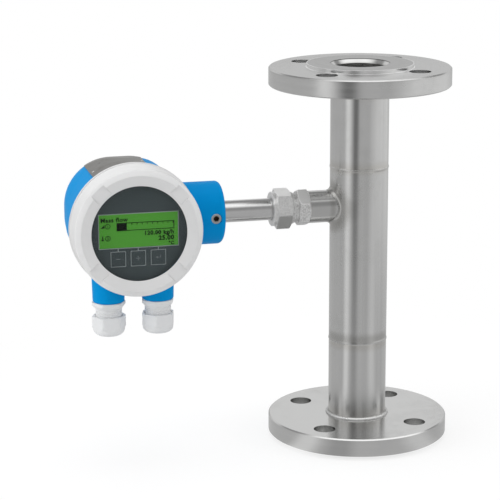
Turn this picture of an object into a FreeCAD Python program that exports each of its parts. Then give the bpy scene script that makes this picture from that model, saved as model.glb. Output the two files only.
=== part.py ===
import FreeCAD, Part
import Sketcher
import math
import os
import re

# Thermal mass flow meter: a flanged measuring tube carries a sensor tube on its side,
# and the sensor tube carries a round transmitter housing that faces the front (-Y).
# Origin: centre of the inlet flange's bolting face. +Z runs along the flow.

sizes = {
    # Flow tube, DN 40 with PN 40 flanges
    "flange_od": 150,
    "flange_plate": 15,
    "flange_chamfer": 1,
    "face_od": 88,
    "face_raise": 3,
    "bolt_circle": 110,
    "bolt_hole": 18,
    "bolt_span": 310.5,  # between the two bolting faces
    "pipe_od": 48.3,
    "pipe_wall": 2.6,
    "pipe_setback": 5,  # pipe end behind the sealing face
    "slip_gap": 0.15,  # pipe in the flange bore
    "fillet_leg": 3.4,  # weld behind the flange
    "root_leg": 3,  # weld inside the flange, over the end of the pipe
    "seam_low": 80.5,
    "seam_high": 228.2,
    "seam_half": 2,
    "seam_crown": 0.7,  # half the flat top of the bead
    "seam_rise": 0.35,
    # Sensor tube and what it carries in the flow
    "tube_z": 195.2,
    "tube_od": 18,
    "tube_wall": 1.5,
    "tube_reach": 13,  # tube end, short of the pipe axis
    "head_face": 3,
    "head_plug": 6,
    "plug_gap": 0.1,
    "probe_od": 4,
    "probe_pitch": 8.4,
    "probe_reach": 6,  # probe tip past the pipe axis
    "guard_reach": 10,
    "guard_bar": 2,
    "guard_wide": 3,
    "guard_inner": 12.4,
    "cable_od": 5,
    # Compression fitting on the side of the measuring tube
    "branch_od": 26.7,
    "branch_weld": 4.4,  # radius of the weld round the branch
    "saddle_gap": 0.1,
    "fit_gap": 0.15,  # sensor tube in the fitting
    "hex_flats": 27,
    "hex_near": 44.3,
    "hex_far": 54,
    "hex_turn": 7.5,
    "hex_chamfer": 1.6,
    "thread_od": 25.8,
    "thread_gap": 0.1,
    "relief_od": 24.4,
    "relief_len": 3.4,
    "nose_far": 66.5,
    "seat_depth": 5,
    "seat_wall": 1,
    "ferrule_gap": 0.1,
    "ferrule_back": 2.9,  # front ferrule behind the nose
    "ferrule_rim": 2,
    "ferrule_len": 6.8,
    "ferrule_tip": 0.45,
    "back_len": 1.6,
    "nut_flats": 29.4,
    "nut_near": 59.9,
    "nut_step": 72,  # hexagon ends, round collar begins
    "nut_far": 75.4,
    "nut_turn": -20,
    "nut_collar": 28.4,
    "nut_edge": 0.4,
    "nut_lead": 1.2,
    "nut_mouth": 1,
    # Housing, turned about an axis along Y through the sensor tube's axis
    "house_x": 195.7,
    "body_od": 95.74,
    "shoulder_y": 33.5,
    "back_y": 39,
    "side_slope": 4.2,  # degrees of draft behind the axis, left and right
    "top_slope": 8.5,
    "back_round": 6,
    "corner_flat": 9.28,  # half the flat between two round corners
    "back_wall": 4.5,
    "cavity_od": 81,
    "deep_od": 75,
    "ledge_y": 14,
    "collar_wall": 6.75,
    "collar_front": 53,
    "neck_od": 51.4,
    "neck_end": 118,
    "neck_round": 4,
    "turn_gap": 0.05,  # housing on the sensor tube
    "bearing_len": 27.6,
    "passage_od": 28,
    "boss_od": 25.6,
    "boss_flare": 0.6,
    "boss_round": 1.5,
    "boss_spread": 40,
    "boss_y": 27,
    "boss_reach": 14.13,  # boss end below the drum
    "screw_x": 126.4,
    "screw_od": 8,
    "screw_gap": 0.1,
    "screw_sink": 0.8,
    "screw_head_od": 9.2,
    "screw_clear": 0.4,  # screw tip off the sensor tube, so the housing can turn
    "socket_flats": 4,
    "socket_depth": 4,
    "clip_od": 24,
    "clip_thick": 1.2,
    "clip_groove": 0.5,
    "clip_gap": 0.15,
    "tube_tail": 2,
    "ring_cord": 1.7,
    "ring_side": 0.35,  # ring groove past the cord on each side
    "ring_squeeze": 0.3,  # rings drawn uncompressed, this far off the moving face
    "neck_ring_x": 135,
    "cover_ring_y": 37,
    "plate_angle": 55,
    "plate_start_angle": 127.5,
    "plate_long": 63,
    "plate_thick": 0.6,
    "plate_gap": 0.15,
    "plate_front": 31.5,
    "pin_od": 2.4,
    "pin_rise": 0.5,
    "pin_y": 8,
    "pin_angle": 3.2,
    # Cover, window and display, measured back from the crest of the cover ring
    "crest_y": 63.2,
    "cover_od": 104.2,
    "cover_long": 28.7,
    "cover_draft": 1.2,
    "crest_in": 90,
    "crest_round": 3.4,
    "window_od": 76,
    "funnel": 1,
    "lip": 1.4,
    "pane_od": 83,
    "pane_thick": 2.6,
    "pane_gap": 0.3,
    "seal_thick": 0.4,
    "seal_wide": 2.7,
    "clamp_thick": 1.1,
    "clamp_room": 0.1,
    "clamp_in": 79.4,
    "clamp_out": 86.4,
    "screw_gap_y": 1.2,
    "cover_room_gap": 0.7,  # cover past the bosses
    "thread_play": 0.08,  # cover thread on the housing collar
    "groove_back": 4,
    "groove_wide": 0.8,
    "groove_deep": 0.7,
    "band_step": 0.25,  # band behind the groove, proud of the skirt
    "slot_wide": 13,
    "slot_deep": 1.7,
    "slot_in": 79,
    "slot_turn": 42.3,
    "face_back": 6.2,  # display face behind the crest
    "face_disc": 78.4,
    "face_edge": 0.5,
    "module_thick": 8,
    "spigot_od": 32,
    "spigot_play": 0.08,
    "spigot_lip": 1.6,
    "spigot_lip_thick": 1.5,
    "module_lift": 0.4,
    "holder_thick": 3.5,
    "holder_od": 79,
    "post_od": 6.4,
    "post_circle": 70,
    "lcd_wide": 62.6,
    "lcd_tall": 26.8,
    "lcd_up": 2,
    "lcd_deep": 1.5,
    "lcd_gap": 0.1,
    "lcd_sink": 0.2,
    "carrier_thick": 4,
    "carrier_gap": 0.3,
    "core_od": 62,
    "core_long": 34,
    "block_wide": 50,
    "block_tall": 14,
    "block_deep": 12,
    "block_drop": 20,
    "clamp_screw_od": 4,
    "clamp_screw_rise": 0.8,
    "clamp_screw_pitch": 8,
    # Cable glands
    "gland_flats": 24,
    "gland_round": 26.6,
    "gland_flange": 4.2,
    "gland_thread": 19.8,
    "gland_gap": 0.1,
    "gland_screwed": 8.5,
    "gland_neck": 12.5,
    "gland_bore": 13,
    "insert_od": 17,
    "insert_gap": 0.15,
    "insert_bore": 10,
    "insert_long": 11,
    "insert_up": 8,
    "dome_gap": 4.1,
    "dome_long": 18.4,
    "dome_round": 27,
    "dome_straight": 9,
    "dome_shoulder": 25.4,
    "dome_curve": 5.8,
    "dome_mouth": 13.2,
    "dome_turn": 15,
}
bolt_count = 4
slot_count = 4
post_count = 3
post_first = 30  # degrees up from +X
terminal_count = 6

doc = FreeCAD.newDocument("flow_meter")
sheet = doc.addObject("Spreadsheet::Sheet", "sizes")
for row, (name, value) in enumerate(sizes.items(), 1):
    sheet.set(f"A{row}", name)
    sheet.set(f"B{row}", str(value))
    sheet.setAlias(f"B{row}", name)


def bound(text):
    # Every word of the expression that names a size is read from the sheet.
    return re.sub(r"[a-z_]+", lambda word: "sizes." + word[0] if word[0] in sizes else word[0], text)


def bind(thing, where, text):
    thing.setExpression(where, bound(text))


def place(thing, at):
    for axis, text in zip("xyz", at):
        bind(thing, "Placement.Base." + axis, text)


origin = ("0", "0", "0")
tube_line = ("0", "0", "tube_z")
house_line = ("-house_x", "0", "tube_z")
crest_line = ("-house_x", "-crest_y", "tube_z")
along = {
    "X": FreeCAD.Rotation(FreeCAD.Vector(0, 1, 0), 90),
    "Y": FreeCAD.Rotation(FreeCAD.Vector(1, 0, 0), -90),
    "Z": FreeCAD.Rotation(),
}
# Sketch plane and sketch axis for a piece turned about each axis
turning = {"X": ("XY_Plane", "H_Axis"), "Y": ("XY_Plane", "V_Axis"), "Z": ("XZ_Plane", "V_Axis")}


def attach(body, name, plane):
    sketch = body.newObject("Sketcher::SketchObject", name)
    support = [part for part in body.Origin.OriginFeatures if part.Role == plane][0]
    sketch.AttachmentSupport = (support, [""])
    sketch.MapMode = "FlatFace"
    return sketch


def hold_point(sketch, line, end, across, up):
    # Ties one end of a sketch line to the sizes, measured from the sketch's origin.
    for kind, text in (("DistanceX", across), ("DistanceY", up)):
        index = sketch.addConstraint(Sketcher.Constraint(kind, -1, 1, line, end, 1.0))
        bind(sketch, f"Constraints[{index}]", text)


def outline(body, name, plane, corners):
    sketch = attach(body, name, plane)
    count = len(corners)
    spots = []
    for step in range(count):
        angle = 2 * math.pi * step / count
        spots.append(FreeCAD.Vector(math.cos(angle), math.sin(angle), 0))
    lines = [Part.LineSegment(spots[step], spots[(step + 1) % count]) for step in range(count)]
    sketch.addGeometry(lines, False)
    for step in range(count):
        sketch.addConstraint(Sketcher.Constraint("Coincident", step, 2, (step + 1) % count, 1))
    for step, (across, up) in enumerate(corners):
        hold_point(sketch, step, 1, across, up)
    return sketch


def turned(name, axis, corners, at=origin):
    # A turned piece: corners are (along, radius) about X and (radius, along) about Y or Z.
    body = doc.addObject("PartDesign::Body", name)
    plane, spindle = turning[axis]
    sketch = outline(body, name + "_section", plane, corners)
    turn = body.newObject("PartDesign::Revolution", name + "_turn")
    turn.Profile = sketch
    turn.ReferenceAxis = (sketch, [spindle])
    turn.Angle = 360
    place(body, at)
    return body


def padded(name, plane, corners, depth, at=origin):
    # A plate of even thickness, centred on its sketch plane.
    body = doc.addObject("PartDesign::Body", name)
    sketch = outline(body, name + "_outline", plane, corners)
    pad = body.newObject("PartDesign::Pad", name + "_pad")
    pad.Profile = sketch
    pad.Midplane = True
    bind(pad, "Length", depth)
    place(body, at)
    return body


def circle_sketch(body, name, plane, across, up, radius):
    sketch = attach(body, name, plane)
    sketch.addGeometry(Part.Circle(FreeCAD.Vector(1, 1, 0), FreeCAD.Vector(0, 0, 1), 1.0), False)
    index = sketch.addConstraint(Sketcher.Constraint("Radius", 0, 1.0))
    bind(sketch, f"Constraints[{index}]", radius)
    hold_point(sketch, 0, 3, across, up)
    return sketch


def pocketed(body, name, sketch, depth, both=False):
    pocket = body.newObject("PartDesign::Pocket", name)
    pocket.Profile = sketch
    pocket.Midplane = both
    bind(pocket, "Length", depth)
    return pocket


def repeated(body, name, feature, sketch, count):
    ring = body.newObject("PartDesign::PolarPattern", name)
    ring.Originals = [feature]
    ring.Axis = (sketch, ["N_Axis"])
    ring.Angle = 360
    ring.Occurrences = count
    body.Tip = ring
    return ring


def rod(name, axis, radius, length, at):
    piece = doc.addObject("Part::Cylinder", name)
    piece.Placement = FreeCAD.Placement(FreeCAD.Vector(), along[axis])
    bind(piece, "Radius", radius)
    bind(piece, "Height", length)
    place(piece, at)
    return piece


def hexagon(name, axis, flats, length, at, turn="0"):
    # The prism's first corner points along its own X; the turn is taken about the axis.
    piece = doc.addObject("Part::Prism", name)
    piece.Polygon = 6
    bind(piece, "Circumradius", f"{flats} / sqrt(3)")
    bind(piece, "Height", length)
    holder = doc.addObject("Part::Compound", name + "_held")
    bind(piece, "Placement.Rotation.Angle", turn)
    holder.Links = [piece]
    holder.Placement = FreeCAD.Placement(FreeCAD.Vector(), along[axis])
    place(holder, at)
    return holder


def hoop(name, axis, radius, cord, at):
    piece = doc.addObject("Part::Torus", name)
    piece.Placement = FreeCAD.Placement(FreeCAD.Vector(), along[axis])
    bind(piece, "Radius1", radius)
    bind(piece, "Radius2", cord)
    place(piece, at)
    return piece


def fused(name, pieces):
    result = doc.addObject("Part::MultiFuse", name)
    result.Shapes = pieces
    result.Refine = True
    return result


def grouped(name, pieces):
    result = doc.addObject("Part::Compound", name)
    result.Links = pieces
    return result


def cut(name, base, tool):
    result = doc.addObject("Part::Cut", name)
    result.Base = base
    result.Tool = tool
    result.Refine = True
    return result


def common(name, base, tool):
    result = doc.addObject("Part::Common", name)
    result.Base = base
    result.Tool = tool
    result.Refine = True
    return result


def same(first, second, slack=0.01):
    return abs(first - second) < slack


def rim(axis, level, radius):
    # Test for a round edge about one of a body's own axes.
    def wanted(edge):
        curve = edge.Curve
        if not isinstance(curve, Part.Circle):
            return False
        return same(getattr(curve.Center, axis), level) and same(curve.Radius, radius)
    return wanted


def rounded(body, name, feature, radius, wanted):
    # Rounds the edges of a feature that the test picks.
    doc.recompute()
    edges = feature.Shape.Edges
    names = [f"Edge{number}" for number, edge in enumerate(edges, 1) if wanted(edge)]
    fillet = body.newObject("PartDesign::Fillet", name)
    fillet.Base = (feature, names)
    bind(fillet, "Radius", radius)
    return fillet


nodes = []


def node(piece, name):
    piece.Label = name
    nodes.append(piece)
    return piece


def flange(name, level, way):
    # The face lies on the outer side of the level; way is "+" when the plate rises from it.
    back = "-" if way == "+" else "+"
    bore = "pipe_od / 2 + slip_gap"
    outer = "flange_od / 2"
    body = turned(name, "Z", [
        (bore, f"{level} {back} face_raise"),
        ("face_od / 2", f"{level} {back} face_raise"),
        ("face_od / 2", level),
        (f"{outer} - flange_chamfer", level),
        (outer, f"{level} {way} flange_chamfer"),
        (outer, f"{level} {way} (flange_plate - flange_chamfer)"),
        (f"{outer} - flange_chamfer", f"{level} {way} flange_plate"),
        (bore, f"{level} {way} flange_plate"),
    ])
    across = f"bolt_circle / 2 * cos({180 / bolt_count})"
    up = f"bolt_circle / 2 * sin({180 / bolt_count})"
    holes = circle_sketch(body, name + "_hole", "XY_Plane", across, up, "bolt_hole / 2")
    bolt_hole = pocketed(body, name + "_drill", holes, "2 * (bolt_span + flange_plate)", True)
    repeated(body, name + "_holes", bolt_hole, holes, bolt_count)
    return node(body, name)


flange("inlet_flange", "0", "+")
flange("outlet_flange", "bolt_span", "-")

pipe_in = "pipe_od / 2 - pipe_wall"
pipe_out = "pipe_od / 2"
pipe_bead = "pipe_od / 2 + seam_rise"


def end_pipe(name, level, seam, way):
    # Pipe from inside the flange to the butt seam, with the welds before and behind the flange.
    back = "-" if way == "+" else "+"
    start = f"{level} {back} face_raise {way} pipe_setback"
    return node(turned(name, "Z", [
        (pipe_in, start),
        (pipe_out, f"{start} {back} root_leg"),
        (pipe_out, f"{level} {way} flange_plate"),
        (f"{pipe_out} + fillet_leg", f"{level} {way} flange_plate"),
        (pipe_out, f"{level} {way} (flange_plate + fillet_leg)"),
        (pipe_out, f"{seam} {back} seam_half"),
        (pipe_bead, f"{seam} {back} seam_crown"),
        (pipe_bead, seam),
        (pipe_in, seam),
    ]), name)


end_pipe("inlet_pipe", "0", "seam_low", "+")
end_pipe("outlet_pipe", "bolt_span", "seam_high", "-")

# Measuring tube: the length between the seams, bored for the sensor tube
run = turned("measuring_run", "Z", [
    (pipe_in, "seam_low"),
    (pipe_bead, "seam_low"),
    (pipe_bead, "seam_low + seam_crown"),
    (pipe_out, "seam_low + seam_half"),
    (pipe_out, "seam_high - seam_half"),
    (pipe_bead, "seam_high - seam_crown"),
    (pipe_bead, "seam_high"),
    (pipe_in, "seam_high"),
])
branch_hole = circle_sketch(run, "branch_hole", "YZ_Plane", "0", "tube_z", "tube_od / 2 + fit_gap")
pocketed(run, "branch_drill", branch_hole, "pipe_od")

# Saddle weld round the fitting's neck: the hollow between pipe and neck, filled to a radius
weld = doc.addObject("PartDesign::Body", "weld_form")
weld_pipe = outline(weld, "weld_pipe", "XZ_Plane", [
    ("0", "tube_z - pipe_od"),
    (pipe_out, "tube_z - pipe_od"),
    (pipe_out, "tube_z + pipe_od"),
    ("0", "tube_z + pipe_od"),
])
weld_turn = weld.newObject("PartDesign::Revolution", "weld_turn")
weld_turn.Profile = weld_pipe
weld_turn.ReferenceAxis = (weld_pipe, ["V_Axis"])
weld_turn.Angle = 360
weld_neck = circle_sketch(weld, "weld_neck", "YZ_Plane", "0", "tube_z", "branch_od / 2")
weld_branch = weld.newObject("PartDesign::Pad", "weld_branch")
weld_branch.Profile = weld_neck
weld_branch.Reversed = True
bind(weld_branch, "Length", "pipe_od")


def at_branch(edge):
    return isinstance(edge.Curve, Part.BSplineCurve)


rounded(weld, "weld_rounding", weld_branch, "branch_weld", at_branch)
weld_out = ("-pipe_od", "0", "tube_z")
weld_reach = rod("weld_reach", "X", "branch_od / 2 + 2 * branch_weld", "pipe_od", weld_out)
weld_bore = rod("weld_bore", "X", "branch_od / 2 + saddle_gap", "pipe_od", weld_out)
weld_core = rod("weld_core", "Z", "pipe_od / 2 - pipe_wall / 2", "2 * pipe_od",
                ("0", "0", "tube_z - pipe_od"))
weld_block = common("weld_block", weld, weld_reach)
weld_bead = cut("weld_bead", weld_block, fused("weld_room", [weld_core, weld_bore]))
node(fused("measuring_body", [run, weld_bead]), "measuring_tube")

# Sensor tube, from the flow to the clip inside the housing neck
clip_far = "neck_end + bearing_len + clip_gap + clip_thick"
tube_far = f"{clip_far} + clip_gap + tube_tail"
tube_bore = "tube_od / 2 - tube_wall"
node(turned("sensor_pipe", "X", [
    ("-tube_reach", tube_bore),
    ("-tube_reach", "tube_od / 2"),
    ("-neck_end - bearing_len", "tube_od / 2"),
    ("-neck_end - bearing_len", "tube_od / 2 - clip_groove"),
    (f"-({clip_far} + clip_gap)", "tube_od / 2 - clip_groove"),
    (f"-({clip_far} + clip_gap)", "tube_od / 2"),
    (f"-({tube_far})", "tube_od / 2"),
    (f"-({tube_far})", tube_bore),
], tube_line), "sensor_tube")
node(turned("clip_ring", "X", [
    (f"-({clip_far})", "tube_od / 2 - clip_groove + saddle_gap"),
    (f"-({clip_far})", "clip_od / 2"),
    (f"-({clip_far}) + clip_thick", "clip_od / 2"),
    (f"-({clip_far}) + clip_thick", "tube_od / 2 - clip_groove + saddle_gap"),
], tube_line), "tube_clip")

# Sensor head closes the tube; the two probes pass through it into the flow
head = turned("head_blank", "X", [
    ("-tube_reach - head_plug", "0"),
    ("-tube_reach - head_plug", f"{tube_bore} - plug_gap"),
    ("-tube_reach", f"{tube_bore} - plug_gap"),
    ("-tube_reach", "tube_od / 2"),
    ("-tube_reach + head_face", "tube_od / 2"),
    ("-tube_reach + head_face", "0"),
], tube_line)
probe_holes = []
for name, side in (("heated_probe", "-"), ("reference_probe", "+")):
    lane = ("0", f"{side}probe_pitch / 2", "tube_z")
    node(turned(name + "_pin", "X", [
        ("-tube_reach - head_plug", "0"),
        ("-tube_reach - head_plug", "probe_od / 2"),
        ("probe_reach - probe_od / 4", "probe_od / 2"),
        ("probe_reach", "probe_od / 4"),
        ("probe_reach", "0"),
    ], lane), name)
    start = ("-tube_reach - head_plug - head_face", f"{side}probe_pitch / 2", "tube_z")
    hole = rod(name + "_hole", "X", "probe_od / 2 + plug_gap", "head_plug + 3 * head_face", start)
    probe_holes.append(hole)
node(cut("head_drilled", head, fused("head_holes", probe_holes)), "sensor_head")

# Guard: a bent strip that stands on the head and closes round the probe tips
guard_out = "guard_inner / 2 + guard_bar"
guard_foot = "-tube_reach + head_face"
node(padded("guard_strip", "XZ_Plane", [
    (guard_foot, "guard_inner / 2"),
    ("guard_reach", "guard_inner / 2"),
    ("guard_reach", "-guard_inner / 2"),
    (guard_foot, "-guard_inner / 2"),
    (guard_foot, f"-({guard_out})"),
    ("guard_reach + guard_bar", f"-({guard_out})"),
    ("guard_reach + guard_bar", guard_out),
    (guard_foot, guard_out),
], "guard_wide", tube_line), "probe_guard")

cable_near = "-tube_reach - head_plug"
node(rod("cable_core", "X", "cable_od / 2", f"{tube_far} + {cable_near}",
         (f"-({tube_far})", "0", "tube_z")), "sensor_cable")

# Fitting body: neck and threaded nose turned together, with the hexagon between them
bore = "tube_od / 2 + fit_gap"
nose = turned("fitting_turned", "X", [
    ("0", "0"),
    ("0", "branch_od / 2"),
    ("-hex_near", "branch_od / 2"),
    ("-hex_far", "branch_od / 2"),
    ("-hex_far", "relief_od / 2"),
    ("-hex_far - relief_len", "relief_od / 2"),
    ("-hex_far - relief_len", "thread_od / 2"),
    ("-nose_far", "thread_od / 2"),
    ("-nose_far", "thread_od / 2 - seat_wall"),
    ("-nose_far + seat_depth", bore),
    ("-nose_far + seat_depth", "0"),
], tube_line)


def chamfered_hexagon(name, flats, near, far, turn, left_radius, left_lead, right_radius, right_lead):
    # A hexagon bar between two stations, turned down to a round face at both ends.
    blank = hexagon(name + "_bar", "X", flats, f"{far} - {near}", (f"-{far}", "0", "tube_z"), turn)
    full = f"{flats} / sqrt(3) + fit_gap"
    cone = turned(name + "_cone", "X", [
        (f"-{far}", "0"),
        (f"-{far}", left_radius),
        (f"-{far} + {left_lead}", full),
        (f"-{near} - {right_lead}", full),
        (f"-{near}", right_radius),
        (f"-{near}", "0"),
    ], tube_line)
    return common(name, blank, cone)


grip = chamfered_hexagon("fitting_hex", "hex_flats", "hex_near", "hex_far", "hex_turn",
                         "hex_flats / 2", "hex_chamfer", "hex_flats / 2", "hex_chamfer")
fitting = fused("fitting_blank", [nose, grip])
bore_rod = rod("fitting_bore", "X", bore, "nose_far", ("-nose_far", "0", "tube_z"))
saddle = rod("fitting_saddle", "Z", "pipe_od / 2 + saddle_gap", "2 * branch_od",
             ("0", "0", "tube_z - branch_od"))
node(cut("fitting_finished", fitting, fused("fitting_room", [bore_rod, saddle])), "fitting_body")

# Fitting nut: hexagon with a round collar, ferrule chamber and thread inside
nut_bar = chamfered_hexagon("nut_hex", "nut_flats", "nut_near", "nut_step", "nut_turn",
                            "nut_flats / sqrt(3) - nut_edge", "nut_edge", "nut_flats / 2", "nut_lead")
nut_round = turned("nut_round", "X", [
    ("-nut_far", "0"),
    ("-nut_far", "nut_collar / 2 - nut_edge"),
    ("-nut_far + nut_edge", "nut_collar / 2"),
    ("-nut_step", "nut_collar / 2"),
    ("-nut_step", "0"),
], tube_line)
ferrule_rear = "nose_far + ferrule_back"
chamber = f"{ferrule_rear} + back_len + ferrule_gap"
nut_room = turned("nut_room", "X", [
    ("-nut_far", "0"),
    ("-nut_far", f"{bore} + nut_mouth"),
    ("-nut_far + nut_mouth", bore),
    (f"-({chamber} + ferrule_gap)", bore),
    (f"-({chamber} + ferrule_gap)", "thread_od / 2 - seat_wall"),
    ("-nose_far - ferrule_gap", "thread_od / 2 - seat_wall"),
    ("-nose_far - ferrule_gap", "thread_od / 2 + thread_gap"),
    ("-nut_near", "thread_od / 2 + thread_gap"),
    ("-nut_near", "0"),
], tube_line)
node(cut("nut_finished", fused("nut_blank", [nut_bar, nut_round]), nut_room), "fitting_nut")

ferrule_in = "tube_od / 2 + ferrule_gap"
ferrule_out = "thread_od / 2 - seat_wall - ferrule_gap"
node(turned("ferrule_cone", "X", [
    (f"-({ferrule_rear})", ferrule_in),
    (f"-({ferrule_rear})", ferrule_out),
    (f"-({ferrule_rear}) + ferrule_rim", ferrule_out),
    (f"-({ferrule_rear}) + ferrule_len", f"{ferrule_in} + ferrule_tip"),
    (f"-({ferrule_rear}) + ferrule_len", ferrule_in),
], tube_line), "front_ferrule")
node(turned("ferrule_back_ring", "X", [
    (f"-({chamber})", ferrule_in),
    (f"-({chamber})", ferrule_out),
    (f"-({ferrule_rear} + ferrule_gap)", ferrule_out),
    (f"-({ferrule_rear} + ferrule_gap)", ferrule_in),
], tube_line), "back_ferrule")

# Housing casting: collar for the cover, round drum, back drafted to a rounded rectangle
collar_out = "cavity_od / 2 + collar_wall"
ring_low = f"{collar_out} - ring_squeeze - ring_cord"
collar = turned("house_collar", "Y", [
    ("0", "-collar_front"),
    (collar_out, "-collar_front"),
    (collar_out, "-cover_ring_y - (ring_cord / 2 + ring_side)"),
    (ring_low, "-cover_ring_y - (ring_cord / 2 + ring_side)"),
    (ring_low, "-cover_ring_y + (ring_cord / 2 + ring_side)"),
    (collar_out, "-cover_ring_y + (ring_cord / 2 + ring_side)"),
    (collar_out, "-shoulder_y"),
    ("0", "-shoulder_y"),
], house_line)


def runs_back(edge):
    return abs(edge.Vertexes[0].Point.y - edge.Vertexes[1].Point.y) > sizes["back_y"] / 2


def at_back(edge):
    return all(same(spot.Point.y, sizes["back_y"]) for spot in edge.Vertexes)


def drum_form(name, grow):
    # The outside of the drum, grown by an amount: round in front of the axis, drafted behind it.
    half = f"body_od / 2 + {grow}"
    side = f"{half} - back_y * tan(side_slope)"
    tail = padded(name + "_tail", "XY_Plane", [
        (half, "0"),
        (side, "back_y"),
        (f"-({side})", "back_y"),
        (f"-({half})", "0"),
    ], f"2 * ({half})", house_line)
    for edge, sign in (("top", "1"), ("low", "-1")):
        wedge = outline(tail, f"{name}_{edge}", "YZ_Plane", [
            ("0", f"{sign} * ({half})"),
            ("back_y", f"{sign} * ({half} - back_y * tan(top_slope))"),
            ("back_y", f"{sign} * ({half} + back_y)"),
        ])
        drafted = pocketed(tail, f"{name}_{edge}_draft", wedge, f"4 * ({half})", True)
    corners = rounded(tail, name + "_corners", drafted, f"{half} - corner_flat", runs_back)
    rounded(tail, name + "_round", corners, "back_round", at_back)
    front = rod(name + "_front", "Y", half, "shoulder_y", ("-house_x", "-shoulder_y", "tube_z"))
    rear = rod(name + "_rear", "Y", half, "back_y", house_line)
    return fused(name, [front, common(name + "_back", rear, tail)])


drum = drum_form("house_drum", "0")

# Side neck that turns on the sensor tube
neck = doc.addObject("PartDesign::Body", "house_neck")
neck_section = outline(neck, "neck_section", "XY_Plane", [
    ("-house_x", "0"),
    ("-house_x", "neck_od / 2"),
    ("-neck_end", "neck_od / 2"),
    ("-neck_end", "0"),
])
neck_turn = neck.newObject("PartDesign::Revolution", "neck_turn")
neck_turn.Profile = neck_section
neck_turn.ReferenceAxis = (neck_section, ["H_Axis"])
neck_turn.Angle = 360
neck_rim = rim("x", -sizes["neck_end"], sizes["neck_od"] / 2)
rounded(neck, "neck_rounding", neck_turn, "neck_round", neck_rim)
place(neck, tube_line)

# Cable entry bosses under the drum
sides = (("left", "-"), ("right", "+"))
boss_end = "-body_od / 2 - boss_reach"


def gland_line(side):
    return (f"-house_x {side} boss_spread / 2", "-boss_y", "tube_z")


# Room that the cover needs in front of the drum's shoulder
cover_room = rod("cover_room", "Y", "cover_od / 2 + cover_room_gap", "crest_y - shoulder_y",
                 ("-house_x", "-crest_y", "tube_z"))
bosses = []
boss_bores = []
boss_low = sizes["body_od"] / 2 + sizes["boss_reach"]
boss_rim = rim("z", -boss_low, sizes["boss_od"] / 2)
for name, side in sides:
    boss = turned("boss_" + name, "Z", [
        ("0", boss_end),
        ("boss_od / 2", boss_end),
        ("boss_od / 2 + boss_flare", "-deep_od / 2"),
        ("0", "-deep_od / 2"),
    ], gland_line(side))
    rounded(boss, "boss_rounding_" + name, boss.Tip, "boss_round", boss_rim)
    bosses.append(cut("boss_trimmed_" + name, boss, cover_room))
    x, y, z = gland_line(side)
    boss_bores.append(rod("entry_" + name, "Z", "gland_thread / 2 + gland_gap", f"-({boss_end})",
                          (x, y, f"{z} + {boss_end}")))

casting = fused("casting", [collar, drum, neck] + bosses)
cavity = turned("cavity", "Y", [
    ("0", "-crest_y"),
    ("cavity_od / 2", "-crest_y"),
    ("cavity_od / 2", "-ledge_y"),
    ("deep_od / 2", "-ledge_y"),
    ("deep_od / 2", "back_y - 2 * back_wall"),
    ("deep_od / 2 - back_wall", "back_y - back_wall"),
    ("0", "back_y - back_wall"),
], house_line)
bearing = turned("bearing_bore", "X", [
    ("-neck_end", "0"),
    ("-neck_end", "tube_od / 2 + turn_gap"),
    ("-neck_ring_x + (ring_cord / 2 + ring_side)", "tube_od / 2 + turn_gap"),
    ("-neck_ring_x + (ring_cord / 2 + ring_side)", "tube_od / 2 + ring_squeeze + ring_cord"),
    ("-neck_ring_x - (ring_cord / 2 + ring_side)", "tube_od / 2 + ring_squeeze + ring_cord"),
    ("-neck_ring_x - (ring_cord / 2 + ring_side)", "tube_od / 2 + turn_gap"),
    ("-neck_end - bearing_len", "tube_od / 2 + turn_gap"),
    ("-neck_end - bearing_len", "passage_od / 2"),
    ("-house_x", "passage_od / 2"),
    ("-house_x", "0"),
], tube_line)
screw_hole = turned("screw_hole", "Y", [
    ("0", "-neck_od / 2"),
    ("screw_head_od / 2", "-neck_od / 2"),
    ("screw_head_od / 2", "-neck_od / 2 + screw_sink"),
    ("screw_od / 2 + screw_gap", "-neck_od / 2 + screw_sink"),
    ("screw_od / 2 + screw_gap", "0"),
    ("0", "0"),
], ("-screw_x", "0", "tube_z"))
shell = casting
for number, room in enumerate([cavity, bearing, screw_hole] + boss_bores):
    shell = cut(f"house_cut_{number}", shell, room)
node(shell, "housing")

node(hoop("neck_hoop", "X", "tube_od / 2 + ring_squeeze + ring_cord / 2", "ring_cord / 2",
          ("-neck_ring_x", "0", "tube_z")), "neck_o_ring")
node(hoop("cover_hoop", "Y", f"{ring_low} + ring_cord / 2", "ring_cord / 2",
          ("-house_x", "-cover_ring_y", "tube_z")), "cover_o_ring")

# Securing screw with a hexagon socket
screw_face = "neck_od / 2 - screw_sink"
screw_blank = rod("screw_blank", "Y", "screw_od / 2", f"{screw_face} - tube_od / 2 - screw_clear",
                  ("-screw_x", f"-({screw_face})", "tube_z"))
screw_socket = hexagon("screw_socket", "Y", "socket_flats", "socket_depth",
                       ("-screw_x", f"-({screw_face})", "tube_z"))
node(cut("screw_finished", screw_blank, screw_socket), "securing_screw")

# Nameplate laid over the top of the drum, with a pin at each end
plate_in = "body_od / 2 + plate_gap"
plate_top = f"{plate_in} + plate_thick"


def swing(piece, angle):
    # Turns a piece about the housing axis, counted up from +X.
    piece.Placement = FreeCAD.Placement(FreeCAD.Vector(), FreeCAD.Rotation(FreeCAD.Vector(0, -1, 0), 1))
    bind(piece, "Placement.Rotation.Angle", angle)
    place(piece, house_line)
    return piece


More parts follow.
